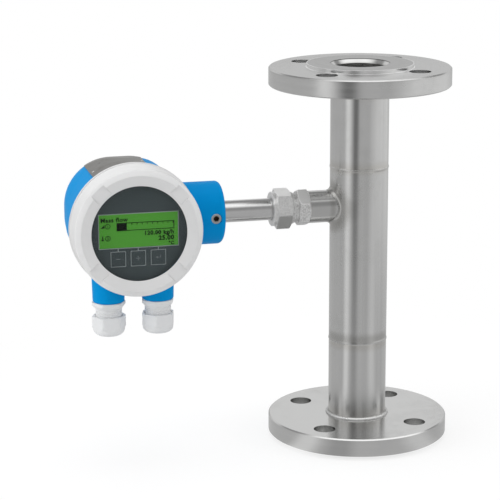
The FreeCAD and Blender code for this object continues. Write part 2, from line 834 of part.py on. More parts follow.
plate_skin = cut("plate_skin", drum_form("plate_over", "plate_gap + plate_thick"),
                 drum_form("plate_under", "plate_gap"))
sector = rod("plate_sector", "Y", "body_od", "plate_long", ("0", "-plate_front", "0"))
bind(sector, "Angle", "plate_angle")
plate_wedge = swing(grouped("plate_wedge", [sector]), "plate_start_angle")
plate_blank = common("plate_blank", plate_skin, plate_wedge)
pin_holes = []
pins = []
for name, angle in (("first", "plate_start_angle - pin_angle"),
                    ("last", "plate_start_angle - plate_angle + pin_angle")):
    for kind, radius, low, high, keep in (
            ("hole", "pin_od / 2 + plate_gap", "0", plate_top, pin_holes),
            ("pin", "pin_od / 2", plate_in, f"{plate_top} + pin_rise", pins)):
        stem = rod(f"plate_{kind}_{name}", "X", radius, f"{high} - ({low})", (low, "-pin_y", "0"))
        keep.append(swing(grouped(f"plate_{kind}_{name}_held", [stem]), angle))
node(cut("plate_drilled", plate_blank, fused("plate_holes", pin_holes)), "nameplate")
node(grouped("plate_pins", pins), "nameplate_pins")

# Cover ring: drafted skirt, crest, funnel down to the window, four tool slots
pane_front = "funnel + lip + seal_thick"
pane_back = f"{pane_front} + pane_thick"
clamp_back = f"{pane_back} + clamp_thick + 2 * clamp_room"
thread_end = "crest_y - collar_front - screw_gap_y"
seat = "pane_od / 2 + pane_gap"
skirt = "cover_od / 2"
cover = turned("cover_turned", "Y", [
    ("window_od / 2", "funnel"),
    ("crest_in / 2", "0"),
    (f"{skirt} - cover_draft", "0"),
    (f"{skirt} - band_step", "cover_long - groove_back - groove_wide"),
    (f"{skirt} - groove_deep", "cover_long - groove_back - groove_wide"),
    (f"{skirt} - groove_deep", "cover_long - groove_back"),
    (skirt, "cover_long - groove_back"),
    (skirt, "cover_long - groove_deep"),
    (f"{skirt} - groove_deep", "cover_long"),
    (f"{collar_out} + thread_play", "cover_long"),
    (f"{collar_out} + thread_play", thread_end),
    (seat, thread_end),
    (seat, clamp_back),
    ("clamp_out / 2 + pane_gap", clamp_back),
    ("clamp_out / 2 + pane_gap", pane_back),
    (seat, pane_back),
    (seat, "funnel + lip"),
    ("window_od / 2", "funnel + lip"),
], crest_line)
crest_rim = rim("y", 0, sizes["cover_od"] / 2 - sizes["cover_draft"])
rounded(cover, "crest_rounding", cover.Tip, "crest_round", crest_rim)
slot_sketch = outline(cover, "slot_outline", "XZ_Plane", [
    ("slot_in / 2", "-slot_wide / 2"),
    ("cover_od", "-slot_wide / 2"),
    ("cover_od", "slot_wide / 2"),
    ("slot_in / 2", "slot_wide / 2"),
])
bind(slot_sketch, "AttachmentOffset.Rotation.Angle", "slot_turn")
slot = pocketed(cover, "slot_mill", slot_sketch, "slot_deep")
repeated(cover, "slots", slot, slot_sketch, slot_count)
node(cover, "cover_ring")

pane_edge = "pane_od / 2"
node(turned("pane", "Y", [
    ("0", pane_front),
    (pane_edge, pane_front),
    (pane_edge, pane_back),
    ("0", pane_back),
], crest_line), "window_glass")
node(turned("pane_seal", "Y", [
    (f"{pane_edge} - seal_wide", "funnel + lip"),
    (pane_edge, "funnel + lip"),
    (pane_edge, pane_front),
    (f"{pane_edge} - seal_wide", pane_front),
], crest_line), "window_seal")
node(turned("pane_clamp", "Y", [
    ("clamp_in / 2", f"{pane_back} + clamp_room"),
    ("clamp_out / 2", f"{pane_back} + clamp_room"),
    ("clamp_out / 2", f"{pane_back} + clamp_room + clamp_thick"),
    ("clamp_in / 2", f"{pane_back} + clamp_room + clamp_thick"),
], crest_line), "window_retainer")

# Display module: a disc whose spigot turns in the holder
module_back = "face_back + module_thick"
holder_front = f"{module_back} + module_lift"
holder_back = f"{holder_front} + holder_thick"
lip_front = f"{holder_back} + module_lift"
module = turned("module_turned", "Y", [
    ("0", "face_back"),
    ("face_disc / 2 - face_edge", "face_back"),
    ("face_disc / 2", "face_back + face_edge"),
    ("face_disc / 2", module_back),
    ("spigot_od / 2", module_back),
    ("spigot_od / 2", lip_front),
    ("spigot_od / 2 + spigot_lip", lip_front),
    ("spigot_od / 2 + spigot_lip", f"{lip_front} + spigot_lip_thick"),
    ("0", f"{lip_front} + spigot_lip_thick"),
], crest_line)


def upright(name, wide, tall, deep, front):
    # A box centred on the display, its front at the given depth.
    box = doc.addObject("Part::Box", name)
    bind(box, "Length", wide)
    bind(box, "Width", deep)
    bind(box, "Height", tall)
    place(box, (f"-house_x - ({wide}) / 2", f"-crest_y + {front}", f"tube_z + lcd_up - ({tall}) / 2"))
    return box


lcd_room = upright("lcd_room", "lcd_wide + 2 * lcd_gap", "lcd_tall + 2 * lcd_gap", "lcd_deep", "face_back")
node(cut("module_finished", module, lcd_room), "display_module")
node(upright("lcd_glass", "lcd_wide", "lcd_tall", "lcd_deep - lcd_sink", "face_back + lcd_sink"), "lcd_panel")

# Holder plate on three posts that stand on the electronics carrier
carrier_front = "crest_y - ledge_y - carrier_thick"
holder_plate = turned("holder_plate", "Y", [
    ("spigot_od / 2 + spigot_play", holder_front),
    ("holder_od / 2", holder_front),
    ("holder_od / 2", holder_back),
    ("spigot_od / 2 + spigot_play", holder_back),
], crest_line)
posts = []
for number in range(post_count):
    angle = post_first + 360 / post_count * number
    spot = (f"-house_x + post_circle / 2 * cos({angle})", f"-crest_y + {holder_back}",
            f"tube_z + post_circle / 2 * sin({angle})")
    posts.append(rod(f"holder_post_{number}", "Y", "post_od / 2", f"{carrier_front} - ({holder_back})", spot))
node(fused("holder_joined", [holder_plate] + posts), "display_holder")

# Electronics: carrier plate on the ledge, potted core behind it, terminals in front
carrier_edge = "cavity_od / 2 - carrier_gap"
node(turned("carrier_plate", "Y", [
    ("0", "-ledge_y - carrier_thick"),
    (carrier_edge, "-ledge_y - carrier_thick"),
    (carrier_edge, "-ledge_y"),
    ("0", "-ledge_y"),
], house_line), "electronics_carrier")
node(rod("core_can", "Y", "core_od / 2", "core_long", ("-house_x", "-ledge_y", "tube_z")), "main_electronics")
block = doc.addObject("Part::Box", "terminal_body")
bind(block, "Length", "block_wide")
bind(block, "Width", "block_deep")
bind(block, "Height", "block_tall")
place(block, ("-house_x - block_wide / 2", "-ledge_y - carrier_thick - block_deep",
              "tube_z - block_drop - block_tall / 2"))
node(block, "terminal_block")
screws = []
for number in range(terminal_count):
    spot = (f"-house_x + {number - (terminal_count - 1) / 2} * clamp_screw_pitch",
            "-ledge_y - carrier_thick - block_deep - clamp_screw_rise", "tube_z - block_drop")
    screws.append(rod(f"terminal_screw_{number}", "Y", "clamp_screw_od / 2", "clamp_screw_rise", spot))
node(grouped("terminal_screw_set", screws), "terminal_screws")


# Cable glands: body screwed into the boss, rubber insert, dome nut
flange_low = f"{boss_end} - gland_flange"
dome_top = f"{flange_low} - dome_gap"
dome_low = f"{dome_top} - dome_long"
insert_low = f"{flange_low} - gland_neck - (insert_long - insert_up)"
dome_drop = boss_low + sizes["gland_flange"] + sizes["dome_gap"] + sizes["dome_long"]
dome_rim = rim("z", -dome_drop, sizes["dome_shoulder"] / 2)
corner_ahead = "30"  # degrees that bring a hexagon's corner to the front


def gland(name, side, turn):
    line = gland_line(side)
    x, y, z = line
    stem = turned(f"gland_{name}_stem", "Z", [
        ("gland_bore / 2", f"{boss_end} + gland_screwed"),
        ("gland_thread / 2", f"{boss_end} + gland_screwed"),
        ("gland_thread / 2", f"{flange_low} - gland_neck"),
        ("insert_od / 2 + insert_gap", f"{flange_low} - gland_neck"),
        ("insert_od / 2 + insert_gap", f"{flange_low} - gland_neck + insert_up + insert_gap"),
        ("gland_bore / 2", f"{flange_low} - gland_neck + insert_up + insert_gap"),
    ], line)
    collar = turned(f"gland_{name}_collar", "Z", [
        ("gland_bore / 2", boss_end),
        ("gland_round / 2", boss_end),
        ("gland_round / 2", flange_low),
        ("gland_bore / 2", flange_low),
    ], line)
    bar = hexagon(f"gland_{name}_bar", "Z", "gland_flats", "gland_flange",
                  (x, y, f"{z} + {flange_low}"), turn)
    grip = common(f"gland_{name}_grip", collar, bar)
    node(fused(f"gland_{name}_joined", [stem, grip]), "gland_body_" + name)
    node(turned(f"gland_{name}_insert", "Z", [
        ("insert_bore / 2", insert_low),
        ("insert_od / 2", insert_low),
        ("insert_od / 2", f"{insert_low} + insert_long"),
        ("insert_bore / 2", f"{insert_low} + insert_long"),
    ], line), "gland_seal_" + name)
    thread = "gland_thread / 2 + gland_gap"
    shell = turned(f"gland_{name}_shell", "Z", [
        (thread, dome_top),
        ("dome_round / 2", dome_top),
        ("dome_round / 2", f"{dome_top} - dome_straight"),
        ("dome_shoulder / 2", dome_low),
        ("dome_mouth / 2", dome_low),
        ("dome_mouth / 2", f"{insert_low} - insert_gap"),
        (thread, f"{insert_low} - insert_gap"),
    ], line)
    rounded(shell, f"gland_{name}_rounding", shell.Tip, "dome_curve", dome_rim)
    dome_bar = hexagon(f"gland_{name}_dome_bar", "Z", "gland_flats", "dome_long",
                       (x, y, f"{z} + {dome_low}"), turn)
    node(common(f"gland_{name}_dome", shell, dome_bar), "gland_nut_" + name)


gland("left", "-", corner_ahead)
gland("right", "+", f"{corner_ahead} + dome_turn")

doc.recompute()
faults = []
for thing in doc.Objects:
    if "Invalid" in thing.State or "Error" in thing.State:
        faults.append(thing.Name)
for piece in nodes:
    if piece.Shape.isNull() or not piece.Shape.isValid() or not piece.Shape.Solids:
        faults.append(piece.Label)
if faults:
    raise RuntimeError("not built: " + ", ".join(faults))

os.makedirs("parts", exist_ok=True)
for piece in nodes:
    piece.Shape.exportStep(f"parts/{piece.Label}.step")
    print(piece.Label, len(piece.Shape.Solids), round(piece.Shape.Volume))
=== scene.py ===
import math
import bmesh
import bpy
from mathutils import Euler, Matrix, Vector


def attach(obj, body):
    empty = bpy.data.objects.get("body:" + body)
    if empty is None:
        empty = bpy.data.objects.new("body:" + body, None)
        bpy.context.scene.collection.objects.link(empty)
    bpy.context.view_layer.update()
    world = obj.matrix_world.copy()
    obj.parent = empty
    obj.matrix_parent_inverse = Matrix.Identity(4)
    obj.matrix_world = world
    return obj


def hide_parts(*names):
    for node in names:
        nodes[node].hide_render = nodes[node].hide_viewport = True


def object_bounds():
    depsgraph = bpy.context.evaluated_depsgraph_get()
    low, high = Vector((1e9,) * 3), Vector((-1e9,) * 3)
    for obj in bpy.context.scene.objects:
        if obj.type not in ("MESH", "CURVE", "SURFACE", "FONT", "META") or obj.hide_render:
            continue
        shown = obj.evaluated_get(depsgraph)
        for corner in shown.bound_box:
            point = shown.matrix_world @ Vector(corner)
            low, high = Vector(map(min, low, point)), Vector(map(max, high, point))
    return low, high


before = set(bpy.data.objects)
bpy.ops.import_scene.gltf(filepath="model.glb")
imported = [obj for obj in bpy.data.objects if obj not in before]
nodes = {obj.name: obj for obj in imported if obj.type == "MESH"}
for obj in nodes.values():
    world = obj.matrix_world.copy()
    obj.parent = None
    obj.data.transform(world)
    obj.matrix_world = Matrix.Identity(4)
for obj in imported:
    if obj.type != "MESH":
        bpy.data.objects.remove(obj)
cadLow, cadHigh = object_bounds()
scene = bpy.context.scene
scene.view_settings.view_transform = "Standard"
mm = 0.001
print("frame loaded with", len(nodes), "nodes")

# places on the part that several pieces share, in millimetres
part = {
    "pipeRadius": 24.15,
    "boreRadius": 21.55,
    "flangeSpan": 310.5,
    "flangePlate": 15,
    "raisedRadius": 44,
    "raisedHeight": 3,
    "boltAcross": 38.89,
    "boltRadius": 9,
    "seamLow": 80.5,
    "seamHigh": 228.2,
    "branchRadius": 16.5,
    "neckX": -25.5,
    "tubeZ": 195.2,
    "houseX": -195.7,
    "screwX": -126.4,
    "drumRadius": 47.87,
    "glandSpread": 20,
    "glandY": -27,
}

photoCamera = {
    "focal": 2040.8,  # pixels on a frame 500 wide
    "frameWidth": 500,
    "sensor": 36,
    "azimuth": -13.3086,
    "elevation": 13.8454,
    "roll": -0.1595,
    "offset": (90.77, -151.474, 1740.065),  # the origin seen from the lens: right, up, ahead
    "clip": 20,
}


def placeCamera(look):
    turn = math.radians(look["azimuth"])
    rise = math.radians(look["elevation"])
    roll = math.radians(look["roll"])
    back = Vector((math.sin(turn) * math.cos(rise), -math.cos(turn) * math.cos(rise), math.sin(rise)))
    level = Vector((math.cos(turn), math.sin(turn), 0))
    upright = level.cross(-back)
    right = math.cos(roll) * level + math.sin(roll) * upright
    up = math.cos(roll) * upright - math.sin(roll) * level
    across, high, ahead = look["offset"]
    spot = (back * ahead - right * across - up * high) * mm
    lens = bpy.data.cameras.new("camera")
    lens.sensor_width = look["sensor"]
    lens.lens = look["sensor"] * look["focal"] / look["frameWidth"]
    lens.clip_end = look["clip"]
    holder = bpy.data.objects.new("camera", lens)
    axes = Matrix((right, up, back)).transposed().to_4x4()
    holder.matrix_world = Matrix.Translation(spot) @ axes
    scene.collection.objects.link(holder)
    scene.camera = holder


placeCamera(photoCamera)
print("camera placed")


# small helpers for shader and geometry trees
def feed(tree, socket, value):
    if isinstance(value, bpy.types.NodeSocket):
        tree.links.new(value, socket)
    else:
        socket.default_value = value


def feedAll(tree, step, values):  # inputs by name or by number
    for label, value in values.items():
        feed(tree, step.inputs[label], value)
    return step.outputs


def addStep(tree, kind, values, mode=None):
    step = tree.nodes.new(kind)
    if mode:
        step.mode = mode
    return feedAll(tree, step, values)


def calc(tree, operation, *values, clamp=False):
    step = tree.nodes.new("ShaderNodeMath")
    step.operation = operation
    step.use_clamp = clamp
    return feedAll(tree, step, dict(enumerate(values)))[0]


def longSide(tree, first, second):  # across two sides at a right angle
    squares = [calc(tree, "MULTIPLY", side, side) for side in (first, second)]
    return calc(tree, "SQRT", calc(tree, "ADD", *squares))


def blendColour(tree, factor, first, second):
    step = tree.nodes.new("ShaderNodeMix")
    step.data_type = "RGBA"
    return feedAll(tree, step, {0: factor, 6: first, 7: second})[2]


def opaque(colour, share=1.0):
    return tuple(level * share for level in colour) + (1,)


def tinted(tree, colour, mask, strength, tint):
    return blendColour(tree, calc(tree, "MULTIPLY", mask, strength), colour, opaque(tint))


def joinParts(tree, x, y, z):
    return addStep(tree, "ShaderNodeCombineXYZ", {0: x, 1: y, 2: z})[0]


def splitParts(tree, vector):
    return addStep(tree, "ShaderNodeSeparateXYZ", {0: vector})


def noise(tree, vector, scale, detail, rough):
    return addStep(tree, "ShaderNodeTexNoise", {
        "Vector": vector, "Scale": scale, "Detail": detail, "Roughness": rough})["Fac"]


def smoothRange(tree, value, low, high):
    step = tree.nodes.new("ShaderNodeMapRange")
    step.interpolation_type = "SMOOTHSTEP"
    return feedAll(tree, step, dict(enumerate((value, low, high, 0.0, 1.0))))[0]


def within(tree, value, low, high):
    return calc(tree, "SUBTRACT", 1.0, smoothRange(tree, value, low, high))


def mixShaders(tree, factor, first, second):
    return addStep(tree, "ShaderNodeMixShader", {0: factor, 1: first, 2: second})[0]


def newGroup(name, kind, inputs, outputs):
    tree = bpy.data.node_groups.new(name, kind + "NodeTree")
    for label, form, value in inputs:
        socket = tree.interface.new_socket(name=label, in_out="INPUT", socket_type="NodeSocket" + form)
        if value is not None:
            socket.default_value = value
    for label, form in outputs:
        tree.interface.new_socket(name=label, in_out="OUTPUT", socket_type="NodeSocket" + form)
    start = tree.nodes.new("NodeGroupInput").outputs
    end = tree.nodes.new("NodeGroupOutput").inputs
    return tree, start, end


def useGroup(tree, group, **values):
    step = tree.nodes.new("ShaderNodeGroup")
    step.node_tree = group
    return feedAll(tree, step, values)


def newMaterial(name):
    material = bpy.data.materials.new(name)
    material.use_nodes = True
    tree = material.node_tree
    spot = tree.nodes.new("ShaderNodeTexCoord").outputs["Object"]
    return material, tree, spot


vectorIn = ("Vector", "Vector", None)
heightAndTone = [("Height", "Float"), ("Tone", "Float")]
maskOut = [("Mask", "Float")]

# how the shared patterns are drawn
patternLook = {
    "lineTurn": 0.25, "lineTone": 0.16, "grainTone": 0.3,
    "toothScale": 4.0, "pebbleShare": 0.75, "castTone": 0.05,
    "spotScale": 9.0, "smearShare": 0.8, "smearFade": (0.48, 0.72),
    "heatScale": 160.0, "heatRagged": 0.6, "heatLeast": 0.7, "heatFade": (0.1, 1.0),
}


def latheGroup():  # turning marks about Z: rings on a face, lines round a rim
    tree, start, end = newGroup("latheLines", "Shader", [
        vectorIn, ("Pitch", "Float", 0.0004)], heightAndTone)
    x, y, z = splitParts(tree, start["Vector"])
    across = calc(tree, "DIVIDE", longSide(tree, x, y), start["Pitch"])
    along = calc(tree, "DIVIDE", z, start["Pitch"])
    turn = calc(tree, "MULTIPLY", calc(tree, "ARCTAN2", y, x), patternLook["lineTurn"])
    lines = joinParts(tree, across, along, turn)
    feed(tree, end["Height"], noise(tree, lines, 1.0, detail=2.0, rough=0.6))
    feed(tree, end["Tone"], noise(tree, lines, patternLook["lineTone"], detail=3.0, rough=0.6))
    return tree


def brushedGroup():  # straight grain along X
    tree, start, end = newGroup("brushedGrain", "Shader", [
        vectorIn, ("Along", "Float", 40.0), ("Across", "Float", 3000.0)], heightAndTone)
    x, y, z = splitParts(tree, start["Vector"])
    rows = ((x, "Along"), (y, "Across"), (z, "Across"))
    grain = joinParts(tree, *(calc(tree, "MULTIPLY", value, start[label]) for value, label in rows))
    feed(tree, end["Height"], noise(tree, grain, 1.0, detail=3.0, rough=0.6))
    feed(tree, end["Tone"], noise(tree, grain, patternLook["grainTone"], detail=2.0, rough=0.5))
    return tree


def twoNoises(tree, first, second, share):
    return calc(tree, "ADD", calc(tree, "MULTIPLY", first, share), calc(tree, "MULTIPLY", second, 1 - share))


def castGroup():  # powder coat and moulded skin: soft pebbles under a fine tooth
    tree, start, end = newGroup("castSkin", "Shader", [vectorIn, ("Scale", "Float", 700.0)], heightAndTone)
    spot, scale = start["Vector"], start["Scale"]
    pebbles = noise(tree, spot, scale, detail=1.0, rough=0.4)
    fine = calc(tree, "MULTIPLY", scale, patternLook["toothScale"])
    wide = calc(tree, "MULTIPLY", scale, patternLook["castTone"])
    tooth = noise(tree, spot, fine, detail=2.0, rough=0.6)
    feed(tree, end["Height"], twoNoises(tree, pebbles, tooth, patternLook["pebbleShare"]))
    feed(tree, end["Tone"], noise(tree, spot, wide, detail=3.0, rough=0.6))
    return tree


def marksGroup():  # handling: wide soft smears with finer spots in them
    tree, start, end = newGroup("handlingMarks", "Shader", [vectorIn, ("Scale", "Float", 22.0)], maskOut)
    spot, scale = start["Vector"], start["Scale"]
    wide = noise(tree, spot, scale, detail=3.0, rough=0.65)
    fine = noise(tree, spot, calc(tree, "MULTIPLY", scale, patternLook["spotScale"]), detail=2.0, rough=0.5)
    both = twoNoises(tree, wide, fine, patternLook["smearShare"])
    feed(tree, end["Mask"], smoothRange(tree, both, *patternLook["smearFade"]))
    return tree


def heatGroup():  # ragged band for weld colour and for painted light and shade, one beside the seam and none at the far edge
    tree, start, end = newGroup("weldHeat", "Shader", [
        vectorIn, ("Distance", "Float", 0.0), ("Reach", "Float", 0.006)], maskOut)
    ragged = noise(tree, start["Vector"], patternLook["heatScale"], detail=2.0, rough=0.5)
    share = calc(tree, "MULTIPLY_ADD", ragged, patternLook["heatRagged"], patternLook["heatLeast"])
    spread = calc(tree, "MULTIPLY", start["Reach"], share)
    away = calc(tree, "DIVIDE", calc(tree, "ABSOLUTE", start["Distance"]), spread)
    feed(tree, end["Mask"], within(tree, away, *patternLook["heatFade"]))
    return tree


# light cards as the polished steel sees them: a plain wall with soft-edged cards on it
# degrees from the front to the middle, half width, soft edge, brightness
farCards = {"wall": 0.6, "cards": {
    "leftStrip": (-60, 5, 10, 1.0), "frontFlag": (-30, 5, 10, 0.2), "rightPanel": (85, 30, 30, 0.9),
}}
nearCards = {"wall": 0.6, "cards": {
    "leftStrip": (-60, 5, 10, 0.9), "frontFlag": (-30, 5, 10, 0.45), "rightStrip": (40, 5, 15, 0.8),
}}
# and over it: degrees up from the front, through overhead, to the back
skyCards = {"wall": 0.4, "cards": {"topBox": (75, 10, 25, 1.6), "backPanel": (160, 10, 10, 0.9)}}


def cardStops(studio):
    wall = studio["wall"]
    stops = [(-180, wall)]
    for middle, half, soft, level in studio["cards"].values():
        stops += [(middle - half - soft, wall), (middle - half, level)]
        stops += [(middle + half, level), (middle + half + soft, wall)]
    return stops + [(180, wall)]


def cardsGroup(name, studio, overhead=False):
    rows = cardStops(studio)
    tree, start, end = newGroup(name, "Shader", [vectorIn], [("Level", "Color")])
    x, y, z = splitParts(tree, start["Vector"])
    turn = calc(tree, "ARCTAN2", z if overhead else x, calc(tree, "MULTIPLY", y, -1.0))
    share = calc(tree, "MULTIPLY_ADD", turn, 0.5 / math.pi, 0.5)  # a whole turn as nought to one
    ramp = tree.nodes.new("ShaderNodeValToRGB")
    stops = ramp.color_ramp.elements
    while len(stops) < len(rows):
        stops.new(0.5)
    for stop, (angle, level) in zip(stops, rows):
        stop.position = angle / 360 + 0.5
        stop.color = (level, level, level, 1)
    feed(tree, ramp.inputs[0], share)
    feed(tree, end["Level"], ramp.outputs["Color"])
    return tree


latheLines = latheGroup()
brushedGrain = brushedGroup()
castSkin = castGroup()
handlingMarks = marksGroup()
weldHeat = heatGroup()
farStudio = cardsGroup("farStudio", farCards)
nearStudio = cardsGroup("nearStudio", nearCards)
skyStudio = cardsGroup("skyStudio", skyCards, overhead=True)
print("shader groups built")

# the stage, in metres
stageLook = {
    "floorRadius": 1.6,
    "floorSides": 96,
    "floorDrop": 0.0001,
    "floorColour": (0.82, 0.82, 0.82),
    "shadowShare": 0.4,
    "shadowLift": 0.3,
    "shadowFade": (0.12, 0.42),
    "cardsFade": (0.4, 1.05),  # from the near cards to the far ones
    "skyForShade": 0.57,
    "tubeColumn": 0.223,  # the sky reaches lower over the sensor tube and behind
    "columnFade": (0.16, 0.06),
    "behindFade": (-0.2, 0.2),
    "skyStart": 0.24,
    "skyLower": -0.2,
    "skyFade": 0.3,
    "lamps": [  # name, place, width, watts
        ("sideLamp", (-1.6, -0.6, 0.9), 0.8, 5),
        ("leftLamp", (-1.7, -0.1, 0.45), 0.8, 5.2),
        ("rightLamp", (1.4, -0.8, 0.7), 0.9, 5.8),
        ("topLamp", (-0.1, 0.1, 1.5), 0.9, 5.5),
    ],
    "aim": (-0.09, 0.0, 0.16),
}


def seenRays(tree):
    path = tree.nodes.new("ShaderNodeLightPath").outputs
    plain = calc(tree, "MAXIMUM", path["Is Camera Ray"], path["Is Transmission Ray"])
    return path["Is Glossy Ray"], plain


def blendCards(tree, share, first, second, spot):
    levels = [useGroup(tree, cards, Vector=spot)["Level"] for cards in (first, second)]
    return blendColour(tree, share, *levels)


def buildWorld(look):
    world = bpy.data.worlds.new("studio")
    scene.world = world
    world.use_nodes = True
    tree = world.node_tree
    tree.nodes.clear()
    glossy, plain = seenRays(tree)
    ray = tree.nodes.new("ShaderNodeTexCoord").outputs["Generated"]
    x, y, z = splitParts(tree, ray)
    offColumn = calc(tree, "ABSOLUTE", calc(tree, "SUBTRACT", x, look["tubeColumn"]))
    column = calc(tree, "MAXIMUM", smoothRange(tree, offColumn, *look["columnFade"]),
                  smoothRange(tree, y, *look["behindFade"]))
    start = calc(tree, "MULTIPLY_ADD", column, look["skyLower"], look["skyStart"])
    rise = smoothRange(tree, z, start, calc(tree, "ADD", start, look["skyFade"]))
    white = (1, 1, 1, 1)
    shown = blendColour(tree, glossy, white, blendCards(tree, rise, farStudio, skyStudio, ray))
    backs = [addStep(tree, "ShaderNodeBackground", {"Color": colour, "Strength": strength})[0]
             for colour, strength in ((white, look["skyForShade"]), (shown, 1.0))]
    end = tree.nodes.new("ShaderNodeOutputWorld").inputs["Surface"]
    feed(tree, end, mixShaders(tree, calc(tree, "MAXIMUM", glossy, plain), *backs))


def floorMaterial(look):
    material, tree, spot = newMaterial("stageFloor")
    glossy, plain = seenRays(tree)
    x, y, z = splitParts(tree, spot)
    away = longSide(tree, x, y)
    diffuse = addStep(tree, "ShaderNodeBsdfDiffuse", {"Color": opaque(look["floorColour"])})[0]
    white = tree.nodes.new("ShaderNodeEmission").outputs[0]
    lift = addStep(tree, "ShaderNodeEmission", {"Strength": look["shadowLift"]})[0]
    lifted = addStep(tree, "ShaderNodeAddShader", {0: diffuse, 1: lift})[0]
    near = calc(tree, "MULTIPLY", within(tree, away, *look["shadowFade"]), look["shadowShare"])
    seen = mixShaders(tree, plain, diffuse, mixShaders(tree, near, white, lifted))
    cards = blendCards(tree, smoothRange(tree, away, *look["cardsFade"]), nearStudio, farStudio, spot)
    mirrored = addStep(tree, "ShaderNodeEmission", {"Color": cards})[0]
    tree.nodes.remove(tree.nodes["Principled BSDF"])
    feed(tree, tree.nodes["Material Output"].inputs["Surface"], mixShaders(tree, glossy, seen, mirrored))
    return material


def addObject(name, data):
    made = bpy.data.objects.new(name, data)
    scene.collection.objects.link(made)
    return made


def formMesh(form, name):
    mesh = bpy.data.meshes.new(name)
    form.to_mesh(mesh)
    form.free()
    return mesh


def buildStage(look):
    buildWorld(look)
    disc = bmesh.new()
    bmesh.ops.create_circle(disc, cap_ends=True, cap_tris=True, segments=look["floorSides"],
                            radius=look["floorRadius"])
    bmesh.ops.translate(disc, verts=disc.verts, vec=(0, 0, cadLow.z - look["floorDrop"]))
    floor = addObject("stageFloor", formMesh(disc, "stageFloor"))
    floor.data.materials.append(floorMaterial(look))
    for name, place, width, watts in look["lamps"]:
        lamp = bpy.data.lights.new(name, "AREA")
        lamp.size = width
        lamp.energy = watts
        holder = addObject(name, lamp)
        holder.visible_glossy = False  # the steel mirrors the cards, not the lamps
        holder.location = place
        holder.rotation_euler = (Vector(look["aim"]) - Vector(place)).to_track_quat("-Z", "Y").to_euler()


buildStage(stageLook)
print("stage and lamps ready")

# what a finish has unless it says otherwise, lengths in millimetres
plainFinish = {
    "metallic": 0.0, "sockets": {}, "heat": [], "turn": (0, 0, 0), "shift": (0, 0, 0),
    "tone": 0.05, "markScale": 22.0, "wear": 0.3, "roughTone": 0.1, "roughMarks": 0.05,
    "relief": 0.03, "reliefStrength": 0.5, "stretch": 0.8, "stretchTurn": 0.25,
    "grain": (0.58, 0.4), "pit": 0.45,
    "edge": 0.2, "edgeSamples": 4, "edgeFade": (0.01, 0.12), "edgeShare": 0.3,
}


# one finish: a pattern for tone and relief, handling marks, softened edges, and where given a painted
# highlight along the edges
def makeFinish(name, given):
    look = {**plainFinish, **given}
    material, tree, spot = newMaterial(name)
    shader = tree.nodes["Principled BSDF"]
    feedAll(tree, shader, {"Metallic": look["metallic"], **look["sockets"]})
    if "round" in look:  # drawn steel: blurred along the piece, sharp across it
        around = tree.nodes.new("ShaderNodeTangent")
        around.direction_type = "RADIAL"
        around.axis = look["round"]
        feedAll(tree, shader, {"Tangent": around.outputs[0], "Anisotropic": look["stretch"],
                               "Anisotropic Rotation": look["stretchTurn"]})
    place = addStep(tree, "ShaderNodeMapping", {
        "Vector": spot, "Location": look["shift"], "Rotation": look["turn"]})[0]
    pattern = useGroup(tree, look["pattern"], Vector=place, **look["values"])
    marks = useGroup(tree, handlingMarks, Vector=spot, Scale=look["markScale"])["Mask"]
    smear = calc(tree, "MULTIPLY_ADD", marks, look["roughMarks"], look["rough"])
    base = look["colour"]
    dark, light = (opaque(base, 1 + way * look["tone"]) for way in (-1, 1))
    colour = blendColour(tree, pattern["Tone"], dark, light)
    if "speckle" in look:  # fine grain in the colour itself
        grain = smoothRange(tree, pattern["Height"], *look["grain"])
        if "polished" in look:
            near, far = look["polished"]
            before = within(tree, splitParts(tree, spot)[0], near * mm, far * mm)
            grain = calc(tree, "MULTIPLY", grain, before)
        colour = tinted(tree, colour, grain, look["speckle"], [level * look["pit"] for level in base])
    if "polished" in look:  # smoother past a station along X
        near, far = look["polished"]
        past = smoothRange(tree, splitParts(tree, spot)[0], near * mm, far * mm)
        colour = blendColour(tree, past, colour, opaque(look["polishedColour"]))
        smear = calc(tree, "MULTIPLY_ADD", past, look["polishedRough"], smear)
        metal = calc(tree, "MULTIPLY_ADD", past, look["polishedMetal"], look["metallic"])
        feed(tree, shader.inputs["Metallic"], metal)
    if "worn" in look:
        colour = tinted(tree, colour, marks, look["wear"], look["worn"])
    # bands of weld heat colour, and bands of painted highlight and painted shade
    for tint, reach, strength, distance in look["heat"]:
        band = useGroup(tree, weldHeat, Vector=spot, Distance=distance(tree, spot), Reach=reach * mm)["Mask"]
        colour = tinted(tree, colour, band, strength, tint)
    if "core" in look:  # painted shade inside a radius
        distance, near, far, tint = look["core"]
        inside = within(tree, distance(tree, spot), near * mm, far * mm)
        colour = blendColour(tree, inside, colour, opaque(tint))
    bevel = tree.nodes.new("ShaderNodeBevel")
    bevel.samples = look["edgeSamples"]
    bevel.inputs["Radius"].default_value = look["edge"] * mm
    # painted highlight along the softened edges, where the bevel bends the normal
    if "edgeColour" in look:
        flat = tree.nodes.new("ShaderNodeNewGeometry").outputs["Normal"]
        facing = tree.nodes.new("ShaderNodeVectorMath")
        facing.operation = "DOT_PRODUCT"
        bend = calc(tree, "SUBTRACT", 1.0, feedAll(tree, facing, {0: bevel.outputs[0], 1: flat})["Value"])
        colour = tinted(tree, colour, smoothRange(tree, bend, *look["edgeFade"]), look["edgeShare"],
                        look["edgeColour"])
    swing = calc(tree, "MULTIPLY", calc(tree, "SUBTRACT", pattern["Tone"], 0.5), look["roughTone"])
    rough = calc(tree, "ADD", smear, swing, clamp=True)
    relief = addStep(tree, "ShaderNodeBump", {
        "Strength": look["reliefStrength"], "Distance": look["relief"] * mm, "Height": pattern["Height"],
        "Normal": bevel.outputs[0]})[0]
    feedAll(tree, shader, {"Base Color": colour, "Roughness": rough, "Normal": relief})
    return material


branchHeat = {"farSide": (0, 4), "push": 100}  # the weld's heat stays on the side of the branch


def riseOverTube(tree, z):
    return calc(tree, "SUBTRACT", z, part["tubeZ"] * mm)


